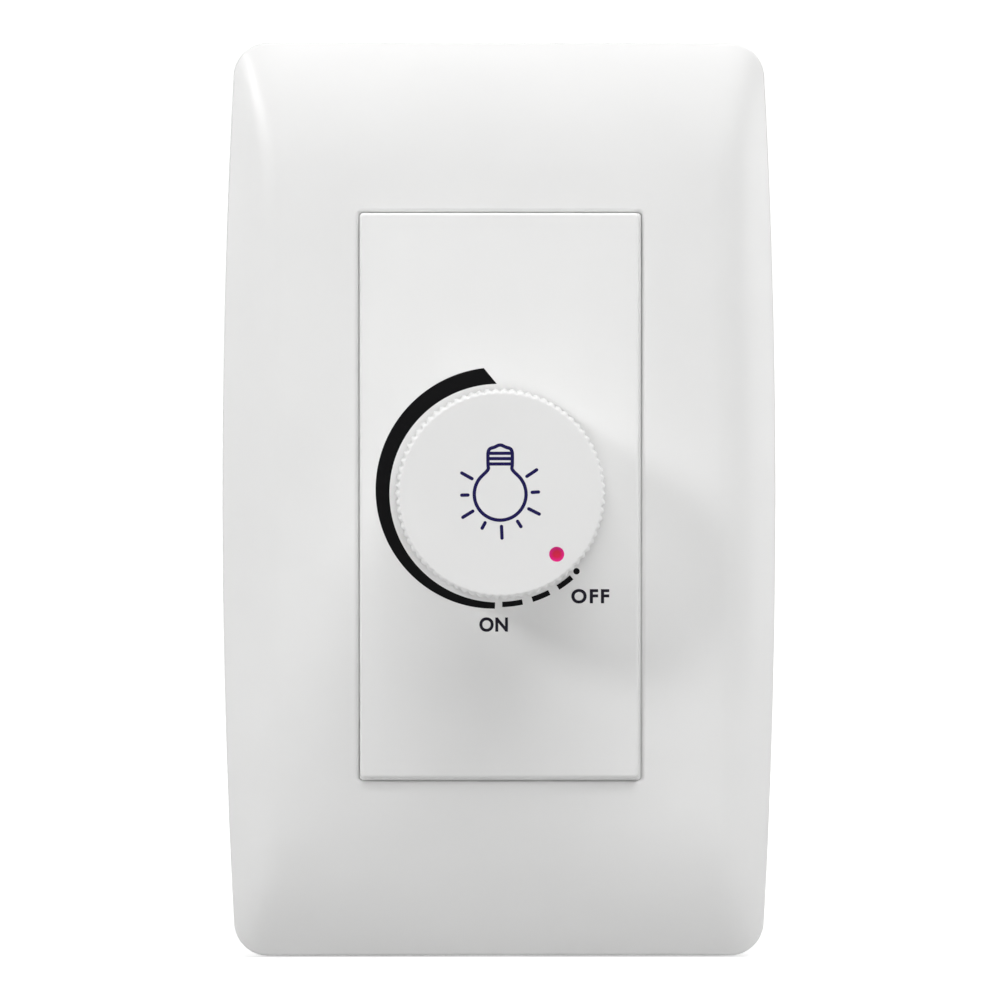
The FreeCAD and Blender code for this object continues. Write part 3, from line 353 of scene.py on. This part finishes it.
# printed scale on the panel: angles in degrees, clockwise from the right as seen from the front
scalePrint = {
    "innerRadius": 14.28 * mm,
    "arcStart": 91.9, "arcEnd": 269.0, "arcSlant": 5.8,
    "startWidth": 0.82 * mm, "endWidth": 2.18 * mm, "arcSteps": 160,
    "dashes": [(77.7, 88.2), (63.0, 72.5), (49.1, 57.9)],
    "dashRadius": 14.2 * mm, "dashWidth": 0.7 * mm, "dashSteps": 16,
    "dotAngle": 45.1, "dotReach": 14.4 * mm, "dotRadius": 0.42 * mm, "dotSides": 32,
    "proud": 0.012 * mm, "thickness": 0.02 * mm,
}


def bandTree():
    tree, given, result = newTree("printedBand", {
        "Start angle": "NodeSocketFloat", "End angle": "NodeSocketFloat",
        "End slant": "NodeSocketFloat", "Inner radius": "NodeSocketFloat",
        "Start width": "NodeSocketFloat", "End width": "NodeSocketFloat",
        "Centre across": "NodeSocketFloat", "Centre height": "NodeSocketFloat",
        "Plane": "NodeSocketFloat", "Steps": "NodeSocketInt", "Ink": "NodeSocketMaterial"})
    grid, along, across = addGrid(tree, given["Steps"], 2)
    span = addMath(tree, "SUBTRACT", given["End angle"], given["Start angle"])
    span = addMath(tree, "SUBTRACT", span, addMath(tree, "MULTIPLY", across, given["End slant"]))
    degrees = addMath(tree, "MULTIPLY_ADD", along, span, given["Start angle"])
    angle = addMath(tree, "RADIANS", degrees)
    grow = addMath(tree, "SUBTRACT", given["End width"], given["Start width"])
    ease = addMath(tree, "SINE", addMath(tree, "MULTIPLY", along, pi / 2))
    width = addMath(tree, "MULTIPLY_ADD", ease, grow, given["Start width"])
    radius = addMath(tree, "MULTIPLY_ADD", across, width, given["Inner radius"])
    turn = addMath(tree, "COSINE", angle)
    x = addMath(tree, "MULTIPLY_ADD", radius, turn, given["Centre across"])
    drop = addMath(tree, "MULTIPLY", radius, addMath(tree, "SINE", angle))
    z = addMath(tree, "SUBTRACT", given["Centre height"], drop)
    endTree(tree, movePoints(tree, grid, x, given["Plane"], z), given["Ink"], result)
    return tree


# an extrusion adds its sides in an order that changes from run to run, and this settles it
def orderFaces(bm):
    placed = sorted(bm.faces, key=lambda face: tuple(face.calc_center_median()))
    for i, face in enumerate(placed):
        face.index = i
    bm.faces.sort()


# turns flat faces towards the room and gives them the ink's thickness
def thicken(bm, plane, thickness):
    for face in bm.faces:
        if face.normal.y > 0:
            face.normal_flip()
    made = bmesh.ops.extrude_face_region(bm, geom=bm.faces[:])
    for item in made["geom"]:
        if isinstance(item, bmesh.types.BMVert):
            item.co.y = plane - thickness
    bmesh.ops.recalc_face_normals(bm, faces=bm.faces)
    orderFaces(bm)


def makeScale():
    look = scalePrint
    plane = panelFace - look["proud"] + look["thickness"]
    tree = bandTree()
    base = {"Centre across": printCentre["x"], "Centre height": printCentre["z"],
            "Plane": plane, "Ink": finishes["blackInk"]}
    bands = [{
        "Start angle": look["arcStart"], "End angle": look["arcEnd"],
        "End slant": look["arcSlant"], "Inner radius": look["innerRadius"],
        "Start width": look["startWidth"], "End width": look["endWidth"],
        "Steps": look["arcSteps"]}]
    for start, end in look["dashes"]:
        bands.append({
            "Start angle": start, "End angle": end, "End slant": 0.0,
            "Inner radius": look["dashRadius"], "Start width": look["dashWidth"],
            "End width": look["dashWidth"], "Steps": look["dashSteps"]})
    bm = bmesh.new()
    for band in bands:
        bm.from_mesh(runTree(tree, {**base, **band}))
    angle = radians(look["dotAngle"])
    centre = Vector((printCentre["x"] + look["dotReach"] * cos(angle), plane,
                     printCentre["z"] - look["dotReach"] * sin(angle)))
    turns = [2 * pi * i / look["dotSides"] for i in range(look["dotSides"])]
    bm.faces.new([bm.verts.new(centre + look["dotRadius"] * Vector((cos(a), 0, sin(a))))
                  for a in turns])
    bm.normal_update()
    thicken(bm, plane, look["thickness"])
    keepPiece("scale_print", takeMesh(bm, "scale"), "housing", "blackInk")


# words by the scale: left end and baseline from the scale's middle
words = {
    "ON": {"left": -2.54 * mm, "base": -18.12 * mm, "width": 3.74 * mm, "spacing": 1.08},
    "OFF": {"left": 9.48 * mm, "base": -14.42 * mm, "width": 4.96 * mm, "spacing": 1.22},
    "capHeight": 1.9 * mm, "weight": 0.034,        # weight as a share of the letters' size
    "curveSteps": 6, "weld": 1e-5,
}


def makeWord(word):
    look = words[word]
    curve = bpy.data.curves.new("word", "FONT")
    curve.body = word
    curve.offset = words["weight"]
    curve.space_character = look["spacing"]
    curve.resolution_u = words["curveSteps"]
    carrier = bpy.data.objects.new("word", curve)
    scene.collection.objects.link(carrier)
    bpy.context.view_layer.update()
    bm = bmesh.new()
    bm.from_mesh(plainMesh(carrier))
    bpy.data.objects.remove(carrier)
    bmesh.ops.remove_doubles(bm, verts=bm.verts, dist=words["weld"])
    xs = [v.co.x for v in bm.verts]
    ys = [v.co.y for v in bm.verts]
    lowX = min(xs)
    lowY = min(ys)
    wide = look["width"] / (max(xs) - lowX)
    tall = words["capHeight"] / (max(ys) - lowY)
    plane = panelFace - scalePrint["proud"] + scalePrint["thickness"]
    for v in bm.verts:
        x = printCentre["x"] + look["left"] + (v.co.x - lowX) * wide
        z = printCentre["z"] + look["base"] + (v.co.y - lowY) * tall
        v.co = Vector((x, plane, z))
    bm.normal_update()
    thicken(bm, plane, scalePrint["thickness"])
    keepPiece("word_" + word.lower(), takeMesh(bm, "word"), "housing", "letterInk")


makeScale()
makeWord("ON")
makeWord("OFF")
print("print on the panel: scale, ON and OFF")


# front panel: the CAD's own, with the step round it brought forward until the gap looks as
# shallow as in the photo
panelStep = {"behindFace": 1.8 * mm, "topLift": 0.92 * mm, "bottomLift": 0.5 * mm,
             "weld": 0.0001 * mm, "nearEnough": 0.01 * mm}


def makePanel():
    look = panelStep
    low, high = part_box("front_panel")
    bm = bmesh.new()
    bm.from_mesh(nodes["front_panel"].data)
    bm.transform(nodes["front_panel"].matrix_world)
    bmesh.ops.remove_doubles(bm, verts=bm.verts, dist=look["weld"])
    for v in bm.verts:
        if abs(v.co.y - panelFace - look["behindFace"]) < look["nearEnough"]:
            rise = (v.co.z - low[2]) / (high[2] - low[2])
            v.co.y -= look["bottomLift"] + (look["topLift"] - look["bottomLift"]) * rise
    bm.normal_update()
    mesh = takeMesh(bm, "panel")
    shadeMesh(mesh, (0, 1, 2))
    obj = keepPiece("panel_moulding", mesh, "housing", "panel")
    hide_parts("front_panel")


makePanel()
print("front panel")


# knob with its fluted rim
knobShape = {
    "flutes": 78, "samples": 9,        # ridges round the rim, and points across each
    "rows": 22,                        # of points from the disc's edge to the base
    "baseRadius": 13.62 * mm, "taper": 0.12 * mm,
    "discRadius": 12.87 * mm,          # edge of the flat front
    "ridge": 0.28 * mm, "ridgeShare": 0.8, "ridgeShape": 1.0,
    "edgeDepth": 0.6 * mm,             # how far the ridges' round ends reach back
    "inset": 0.02 * mm,                # room for the print in front of the disc
    "weld": 0.002 * mm,                # closes the rim's seam and the points between ridges
    "wall": 1.7 * mm, "frontWall": 2.0 * mm, "hubRadius": 5.2 * mm, "hubEnd": 0.1 * mm,
    "bore": 3.05 * mm, "boreFlat": 1.53 * mm, "boreFloor": 1.2 * mm, "flatEnd": 11.2 * mm,
    "ribs": 6, "ribWidth": 1.2 * mm, "ribEnd": 4.0 * mm, "ribRoot": 0.5 * mm,
    "sides": 96,                       # of each ring inside
}


def knobTree():
    tree, given, result = newTree("flutedRim", {
        "Flutes": "NodeSocketInt", "Samples": "NodeSocketInt", "Rows": "NodeSocketInt",
        "Disc radius": "NodeSocketFloat", "Edge width": "NodeSocketFloat",
        "Edge depth": "NodeSocketFloat", "Ridge": "NodeSocketFloat",
        "Ridge share": "NodeSocketFloat", "Ridge shape": "NodeSocketFloat",
        "Taper": "NodeSocketFloat", "Front": "NodeSocketFloat", "Depth": "NodeSocketFloat",
        "Axis height": "NodeSocketFloat", "Weld": "NodeSocketFloat",
        "Finish": "NodeSocketMaterial"})
    links = tree.links
    columns = addMath(tree, "MULTIPLY", given["Flutes"], given["Samples"])
    grid, along, back = addGrid(tree, addMath(tree, "ADD", columns, 1), given["Rows"])
    # column number, the flute that it is in, and its place across that flute
    column = addMath(tree, "ROUND", addMath(tree, "MULTIPLY", along, columns))
    sample = addMath(tree, "FLOORED_MODULO", column, given["Samples"])
    flute = addMath(tree, "DIVIDE", addMath(tree, "SUBTRACT", column, sample), given["Samples"])
    last = addMath(tree, "SUBTRACT", given["Samples"], 1)
    across = addMath(tree, "SUBTRACT", addMath(tree, "DIVIDE", sample, last), 0.5)
    turn = addMath(tree, "MULTIPLY_ADD", across, given["Ridge share"], flute)
    angle = addMath(tree, "MULTIPLY", addMath(tree, "DIVIDE", turn, given["Flutes"]), 2 * pi)
    wave = addMath(tree, "COSINE", addMath(tree, "MULTIPLY", across, pi))
    swell = addMath(tree, "POWER", addMath(tree, "MAXIMUM", wave, 0), given["Ridge shape"])
    height = addMath(tree, "MULTIPLY", swell, given["Ridge"])
    # down the rim: a quarter ellipse to the edge depth, then the taper
    down = addMath(tree, "MULTIPLY", back, 2)
    quarter = addMath(tree, "MULTIPLY", addMath(tree, "MINIMUM", down, 1), pi / 2)
    straight = addMath(tree, "MAXIMUM", addMath(tree, "SUBTRACT", down, 1), 0)
    bend = addMath(tree, "SUBTRACT", 1, addMath(tree, "COSINE", quarter))
    depth = addMath(tree, "MULTIPLY", bend, given["Edge depth"])
    rest = addMath(tree, "SUBTRACT", given["Depth"], given["Edge depth"])
    depth = addMath(tree, "MULTIPLY_ADD", straight, rest, depth)
    spread = addMath(tree, "ADD", given["Edge width"], height)
    reach = addMath(tree, "SINE", quarter)
    radius = addMath(tree, "MULTIPLY_ADD", spread, reach, given["Disc radius"])
    lean = addMath(tree, "DIVIDE", depth, given["Depth"])
    radius = addMath(tree, "MULTIPLY_ADD", lean, given["Taper"], radius)
    x = addMath(tree, "MULTIPLY", radius, addMath(tree, "COSINE", angle))
    y = addMath(tree, "ADD", given["Front"], depth)
    rise = addMath(tree, "MULTIPLY", radius, addMath(tree, "SINE", angle))
    z = addMath(tree, "ADD", rise, given["Axis height"])
    weld = tree.nodes.new("GeometryNodeMergeByDistance")
    links.new(given["Weld"], weld.inputs["Distance"])
    links.new(movePoints(tree, grid, x, y, z), weld.inputs["Geometry"])
    endTree(tree, weld.outputs[0], given["Finish"], result)
    return tree


# indicator dimple on the knob's front, and the ink in it
pointer = {
    "reach": 10.55 * mm, "angle": 47.0, "radius": 1.0 * mm, "depth": 0.22 * mm,
    "rings": 5, "sides": 40,
    "inkShare": 0.97, "inkProud": 0.006 * mm, "ink": 0.02 * mm,
    "middle": (0.64, 0.014, 0.06), "middleEnd": 0.45 * mm,
    "edge": (0.74, 0.012, 0.27), "edgeStart": 0.95 * mm,
    "grain": 1500, "blur": 0.06 * mm, "bright": 0.3, "dull": 0.36, "shine": 0.2,
}


def pointerCentre():
    angle = radians(pointer["angle"])
    reach = pointer["reach"]
    return Vector((reach * cos(angle), 0, shaftHeight - reach * sin(angle)))


# y of the dimple's hollow at a distance from its middle
def dishDepth(distance):
    ball = (pointer["radius"] ** 2 + pointer["depth"] ** 2) / (2 * pointer["depth"])
    return pointer["depth"] - ball + sqrt(ball ** 2 - distance ** 2)


def dishRings(bm, front, scale=1.0, lift=0.0):
    centre = pointerCentre()
    turns = [2 * pi * i / pointer["sides"] for i in range(pointer["sides"])]
    rings = []
    for step in range(pointer["rings"], 0, -1):
        distance = pointer["radius"] * scale * step / pointer["rings"]
        y = front + dishDepth(distance) - lift
        rings.append([bm.verts.new((centre.x + distance * cos(a), y,
                                    centre.z + distance * sin(a))) for a in turns])
    for outer, inner in zip(rings, rings[1:]):
        bridge(bm, outer, inner)
    bm.faces.new(rings[-1])


# edges of the open loop that lies on a plane across Y
def loopAt(bm, y):
    return [e for e in bm.edges
            if e.is_boundary and all(abs(v.co.y - y) < hair for v in e.verts)]


# a ring of points about the shaft's axis, cut off by the flat that faces away from the pointer
def addRing(bm, radius, y, flat=None):
    turn = radians(180 - pointer["angle"])
    count = knobShape["sides"]
    ring = []
    for i in range(count):
        x = radius * cos(2 * pi * i / count)
        z = radius * sin(2 * pi * i / count)
        past = x * cos(turn) + z * sin(turn) - flat if flat else 0
        if past > 0:
            x -= past * cos(turn)
            z -= past * sin(turn)
        ring.append(bm.verts.new((x, y, shaftHeight + z)))
    return ring


def bridge(bm, first, second):
    for i in range(len(first)):
        j = (i + 1) % len(first)
        bm.faces.new((first[i], first[j], second[j], second[i]))


# ribs from the hub to the wall, as closed blocks
def makeRibs(innerFront, frontRadius):
    look = knobShape
    bm = bmesh.new()
    for i in range(look["ribs"]):
        turn = 2 * pi * i / look["ribs"]
        along = Vector((cos(turn), 0, sin(turn)))
        side = Vector((-sin(turn), 0, cos(turn))) * look["ribWidth"] / 2
        start = along * (look["hubRadius"] - 2 * look["ribRoot"])
        end = along * (frontRadius - look["wall"] + look["ribRoot"])
        corners = (start - side, end - side, end + side, start + side)
        ends = [[bm.verts.new((p.x, y, p.z + shaftHeight)) for p in corners]
                for y in (innerFront - look["ribRoot"], knobBase - look["ribEnd"])]
        bridge(bm, *ends)
        for ring in ends:
            bm.faces.new(ring)
    bmesh.ops.recalc_face_normals(bm, faces=bm.faces)
    return takeMesh(bm, "ribs")


# one closed mesh from two that overlap
def unite(first, second):
    carriers = [bpy.data.objects.new("carrier", mesh) for mesh in (first, second)]
    for carrier in carriers:
        scene.collection.objects.link(carrier)
    joint = carriers[0].modifiers.new("joint", "BOOLEAN")
    joint.operation = "UNION"
    joint.solver = "EXACT"
    joint.object = carriers[1]
    mesh = plainMesh(carriers[0])
    for carrier in carriers:
        bpy.data.objects.remove(carrier)
    return mesh


def makeKnob():
    look = knobShape
    front = knobFront + look["inset"]
    frontRadius = look["baseRadius"] - look["taper"]
    bm = bmesh.new()
    bm.from_mesh(runTree(knobTree(), {
        "Flutes": look["flutes"], "Samples": look["samples"], "Rows": look["rows"],
        "Disc radius": look["discRadius"],
        "Edge width": frontRadius - look["ridge"] - look["discRadius"],
        "Edge depth": look["edgeDepth"], "Ridge": look["ridge"],
        "Ridge share": look["ridgeShare"], "Ridge shape": look["ridgeShape"],
        "Taper": look["taper"], "Front": front, "Depth": knobBase - front,
        "Axis height": shaftHeight, "Weld": look["weld"], "Finish": finishes["knob"]}))
    # flat front with the dimple in it
    dishRings(bm, front)
    bmesh.ops.triangle_fill(bm, edges=loopAt(bm, front), use_beauty=True)
    # hollow behind, with its hub and the hub's D-shaped bore
    innerFront = front + look["frontWall"]
    hubBack = knobBase - look["hubEnd"]
    flatEnd = innerFront + look["flatEnd"]
    boreFloor = innerFront + look["boreFloor"]
    rings = [addRing(bm, look["baseRadius"] - look["wall"], knobBase),
             addRing(bm, frontRadius - look["wall"], innerFront),
             addRing(bm, look["hubRadius"], innerFront),
             addRing(bm, look["hubRadius"], hubBack),
             addRing(bm, look["bore"], hubBack), addRing(bm, look["bore"], flatEnd),
             addRing(bm, look["bore"], flatEnd, look["boreFlat"]),
             addRing(bm, look["bore"], boreFloor, look["boreFlat"])]
    for first, second in zip(rings, rings[1:]):
        bridge(bm, first, second)
    bm.faces.new(rings[-1])
    bmesh.ops.remove_doubles(bm, verts=rings[5] + rings[6], dist=hair)
    bmesh.ops.triangle_fill(bm, edges=loopAt(bm, knobBase), use_beauty=True)
    bmesh.ops.recalc_face_normals(bm, faces=bm.faces)
    body = takeMesh(bm, "body")
    bm = bmesh.new()
    bm.from_mesh(unite(body, makeRibs(innerFront, frontRadius)))
    bmesh.ops.recalc_face_normals(bm, faces=bm.faces)
    mesh = takeMesh(bm, "knob")
    shadeMesh(mesh, (1,))
    obj = keepPiece("knob_moulding", mesh, "knob", "knob")
    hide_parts("knob")


# red in the middle of the dish, and magenta where the ink is thin at its rim
def pointerFinish():
    look = pointer
    material, tree, shader, place = newMaterial("pointerInk")
    centre = pointerCentre()
    shift = tree.nodes.new("ShaderNodeVectorMath")
    shift.operation = "SUBTRACT"
    shift.inputs[1].default_value = (centre.x, knobFront, centre.z)
    tree.links.new(place, shift.inputs[0])
    grain = addNoise(tree, place, look["grain"], 1)
    blur = remap(tree, grain, -look["blur"], look["blur"])
    reach = addMath(tree, "ADD", blur, addLength(tree, shift.outputs[0]))
    rim = remap(tree, reach, 0, 1, look["middleEnd"], look["edgeStart"])
    tree.links.new(mixColours(tree, rim, look["middle"], look["edge"]),
                   shader.inputs["Base Color"])
    drawGloss(tree, shader, grain, look["bright"], look["dull"])
    shader.inputs["Specular IOR Level"].default_value = look["shine"]
    return material


def makePointer():
    bm = bmesh.new()
    dishRings(bm, knobFront + knobShape["inset"], pointer["inkShare"], pointer["inkProud"])
    made = bmesh.ops.extrude_face_region(bm, geom=bm.faces[:])
    for item in made["geom"]:
        if isinstance(item, bmesh.types.BMVert):
            item.co.y += pointer["ink"]
    bmesh.ops.recalc_face_normals(bm, faces=bm.faces)
    orderFaces(bm)
    mesh = takeMesh(bm, "pointer")
    shadeMesh(mesh)
    keepPiece("pointer_print", mesh, "knob", "redInk")


# lamp picture on the knob's front: one closed line, bars and rays, in mm from the shaft's axis
# and degrees anticlockwise from the right
lampPrint = {
    "line": 0.44, "across": -0.08,
    "globeRadius": 3.33, "globeEnd": 43, "globeSteps": 60,
    "socket": [(1.46, 3.2), (1.56, 3.62), (1.57, 4.6), (1.57, 5.5), (1.3, 5.92), (0.75, 6.03)],
    "peak": 6.42, "bars": (3.9, 4.59, 5.27), "barHeight": 0.42,
    "rays": 9, "firstRay": 151.0, "rayStep": 30.35, "rayStart": 4.14,
    "longRay": 1.5, "shortRay": 0.8, "rayEndStep": 20,
    "ink": 0.02 * mm, "proud": 0.01 * mm,
}


# cuts the corners of a closed line, a quarter of each side at a time, which rounds it
def roundLine(points, times=2):
    for _ in range(times):
        cut = []
        for (x0, z0), (x1, z1) in zip(points, points[1:] + points[:1]):
            for far in (0.25, 0.75):
                near = 1 - far
                cut.append((near * x0 + far * x1, near * z0 + far * z1))
        points = cut
    return points


def onKnob(x, z, plane):
    return ((x + lampPrint["across"]) * mm, plane, z * mm + shaftHeight)


def closedLine(bm, points, half, plane):
    rings = ([], [])
    for i, (x, z) in enumerate(points):
        x0, z0 = points[i - 1]
        x1, z1 = points[(i + 1) % len(points)]
        heading = atan2(z1 - z0, x1 - x0)
        for ring, side in zip(rings, (half, -half)):
            beside = onKnob(x - sin(heading) * side, z + cos(heading) * side, plane)
            ring.append(bm.verts.new(beside))
    bridge(bm, *rings)


def fillOutline(bm, outline, plane):
    bm.faces.new([bm.verts.new(onKnob(x, z, plane)) for x, z in outline])


def bar(bm, half, z, height, plane):
    low = z - height / 2
    high = z + height / 2
    fillOutline(bm, ((-half, low), (half, low), (half, high), (-half, high)), plane)


# a ray with round ends, from one reach to another
def ray(bm, angle, start, end, half, plane):
    outline = []
    for reach, first in ((end, -90), (start, 90)):
        for step in range(0, 181, lampPrint["rayEndStep"]):
            turn = angle + radians(first + step)
            outline.append((reach * cos(angle) + half * cos(turn),
                            reach * sin(angle) + half * sin(turn)))
    fillOutline(bm, outline, plane)


def makeLamp():
    look = lampPrint
    plane = knobFront + knobShape["inset"] - look["proud"] + look["ink"]
    half = look["line"] / 2
    end = look["globeEnd"]
    steps = look["globeSteps"]
    turns = [radians(end - (180 + 2 * end) * i / steps) for i in range(steps + 1)]
    globe = [(look["globeRadius"] * cos(a), look["globeRadius"] * sin(a)) for a in turns]
    leftSide = [(-x, z) for x, z in look["socket"]]
    rightSide = look["socket"][::-1]
    bm = bmesh.new()
    line = roundLine(globe + leftSide + [(0, look["peak"])] + rightSide)
    closedLine(bm, line, half, plane)
    inside = look["socket"][2][0] - half
    for z in look["bars"]:
        bar(bm, inside, z, look["barHeight"], plane)
    for i in range(look["rays"]):
        angle = radians(look["firstRay"] + i * look["rayStep"])
        reach = look["rayStart"] + (look["shortRay"] if i % 2 else look["longRay"])
        ray(bm, angle, look["rayStart"], reach, half, plane)
    bm.normal_update()
    thicken(bm, plane, look["ink"])
    keepPiece("lamp_print", takeMesh(bm, "lamp"), "knob", "blueInk")


finishes["redInk"] = pointerFinish()
makeKnob()
makePointer()
makeLamp()
print("knob: fluted rim, pointer and lamp picture")


# camera: metres from the aim, degrees left of and above straight on, and the width it sees
view = {
    "distance": 1.0, "left": 0.6, "above": 0.86,
    "frameWidth": 131.35 * mm, "aim": (0.12 * mm, -4.0 * mm, -0.05 * mm),
    "near": 0.05, "far": 20,
}


def makeCamera():
    lens = bpy.data.cameras.new("camera")
    lens.lens = lens.sensor_width * view["distance"] / view["frameWidth"]
    lens.clip_start = view["near"]
    lens.clip_end = view["far"]
    camera = bpy.data.objects.new("camera", lens)
    scene.collection.objects.link(camera)
    left = tan(radians(view["left"]))
    above = tan(radians(view["above"]))
    heading = Vector((-left, -1, above)).normalized()
    camera.location = Vector(view["aim"]) + heading * view["distance"]
    camera.rotation_euler = (-heading).to_track_quat("-Z", "Y").to_euler()
    scene.camera = camera


# where each lamp stands: degrees round from the front to the right, degrees up, metres away,
# metres wide and high, and watts
lamps = {
    "key": {"around": -48, "up": 26, "away": 1.0, "size": (0.2, 0.2), "power": 2.7},
    "top": {"around": 4, "up": 66, "away": 1.5, "size": (1.6, 0.3), "power": 17.0},
    "right": {"around": 85, "up": 0, "away": 1.5, "size": (0.8, 0.8), "power": 9.8},
    "left": {"around": -90, "up": 2, "away": 1.5, "size": (0.8, 0.8), "power": 3.3},
    "front": {"around": 0, "up": -10, "away": 1.5, "size": (0.6, 0.6), "power": 7.1},
    "fill": {"around": 25, "up": 50, "away": 1.5, "size": (0.8, 0.8), "power": 3.0},
    "rear": {"around": 150, "up": 40, "away": 1.3, "size": (0.7, 0.7), "power": 6.0},
}


def makeLamps():
    for name, look in lamps.items():
        lamp = bpy.data.lights.new(name, "AREA")
        lamp.shape = "RECTANGLE"
        lamp.size, lamp.size_y = look["size"]
        lamp.energy = look["power"]
        obj = bpy.data.objects.new(name, lamp)
        around = radians(look["around"])
        up = radians(look["up"])
        towards = Vector((sin(around) * cos(up), -cos(around) * cos(up), sin(up)))
        obj.location = towards * look["away"]
        obj.rotation_euler = (-towards).to_track_quat("-Z", "Y").to_euler()
        obj.visible_camera = False
        scene.collection.objects.link(obj)


# how strongly the world or the paper glows: to the camera and in reflections, and otherwise
def seenBy(tree, shown, otherwise):
    rays = tree.nodes.new("ShaderNodeLightPath")
    seen = addMath(tree, "MAXIMUM", rays.outputs["Is Camera Ray"], rays.outputs["Is Glossy Ray"])
    seen = addMath(tree, "MAXIMUM", seen, rays.outputs["Is Transmission Ray"])
    return addMath(tree, "MULTIPLY_ADD", seen, shown - otherwise, otherwise)


worldGlow = {"seen": 1.0, "light": 0.02}


def makeWorld():
    world = bpy.data.worlds.new("studio")
    world.use_nodes = True
    scene.world = world
    tree = world.node_tree
    background = tree.nodes["Background"]
    background.inputs["Color"].default_value = (1, 1, 1, 1)
    strength = seenBy(tree, worldGlow["seen"], worldGlow["light"])
    tree.links.new(strength, background.inputs["Strength"])


# pale paper: its glow makes it white to the camera and in reflections, and grows with the
# distance from the object, so that the object's shadow shows on it
paper = {
    "dark": (0.52, 0.52, 0.52), "light": (0.55, 0.55, 0.55), "fibre": 500, "gloss": 0.9,
    "nearGlow": 0.66, "farGlow": 0.95, "nearEnd": 0.3, "farStart": 1.4,
}


def paperFinish(name):
    material, tree, shader, place = newMaterial(name)
    links = tree.links
    fibre = remap(tree, addNoise(tree, place, paper["fibre"], 4), 0, 1)
    links.new(mixColours(tree, fibre, paper["dark"], paper["light"]),
              shader.inputs["Base Color"])
    shader.inputs["Roughness"].default_value = paper["gloss"]
    glow = remap(tree, addLength(tree, place), paper["nearGlow"], paper["farGlow"],
                 paper["nearEnd"], paper["farStart"])
    light = tree.nodes.new("ShaderNodeEmission")
    links.new(addMath(tree, "MULTIPLY", seenBy(tree, 1.0, 0.0), glow), light.inputs["Strength"])
    both = tree.nodes.new("ShaderNodeAddShader")
    links.new(shader.outputs[0], both.inputs[0])
    links.new(light.outputs[0], both.inputs[1])
    links.new(both.outputs[0], tree.nodes["Material Output"].inputs["Surface"])
    return material


# the sheet: floor and backdrop with a bend between them, in metres
studio = {"drop": 0.2 * mm, "half": 2.6, "backdrop": 2.3, "bend": 0.9, "bendSteps": 16,
          "height": 2.6}


def makeStudio():
    look = studio
    low = cadBox[0][2] - look["drop"]
    floorEnd = look["backdrop"] - look["bend"]
    profile = [(-look["half"], low), (floorEnd, low)]
    for i in range(1, look["bendSteps"] + 1):
        turn = pi / 2 * i / look["bendSteps"]
        profile.append((floorEnd + look["bend"] * sin(turn),
                        low + look["bend"] * (1 - cos(turn))))
    profile.append((look["backdrop"], low + look["height"]))
    bm = bmesh.new()
    left, right = [[bm.verts.new((x, y, z)) for y, z in profile]
                   for x in (-look["half"], look["half"])]
    for i in range(len(profile) - 1):
        bm.faces.new((left[i], right[i], right[i + 1], left[i + 1]))
    for face in bm.faces:
        face.smooth = True
    bm.normal_update()
    mesh = takeMesh(bm, "paper")
    mesh.materials.append(paperFinish("paper"))
    obj = bpy.data.objects.new("paper", mesh)
    scene.collection.objects.link(obj)


makeCamera()
makeLamps()
makeWorld()
makeStudio()
scene.view_settings.view_transform = "Standard"
print("camera, lamps and paper")
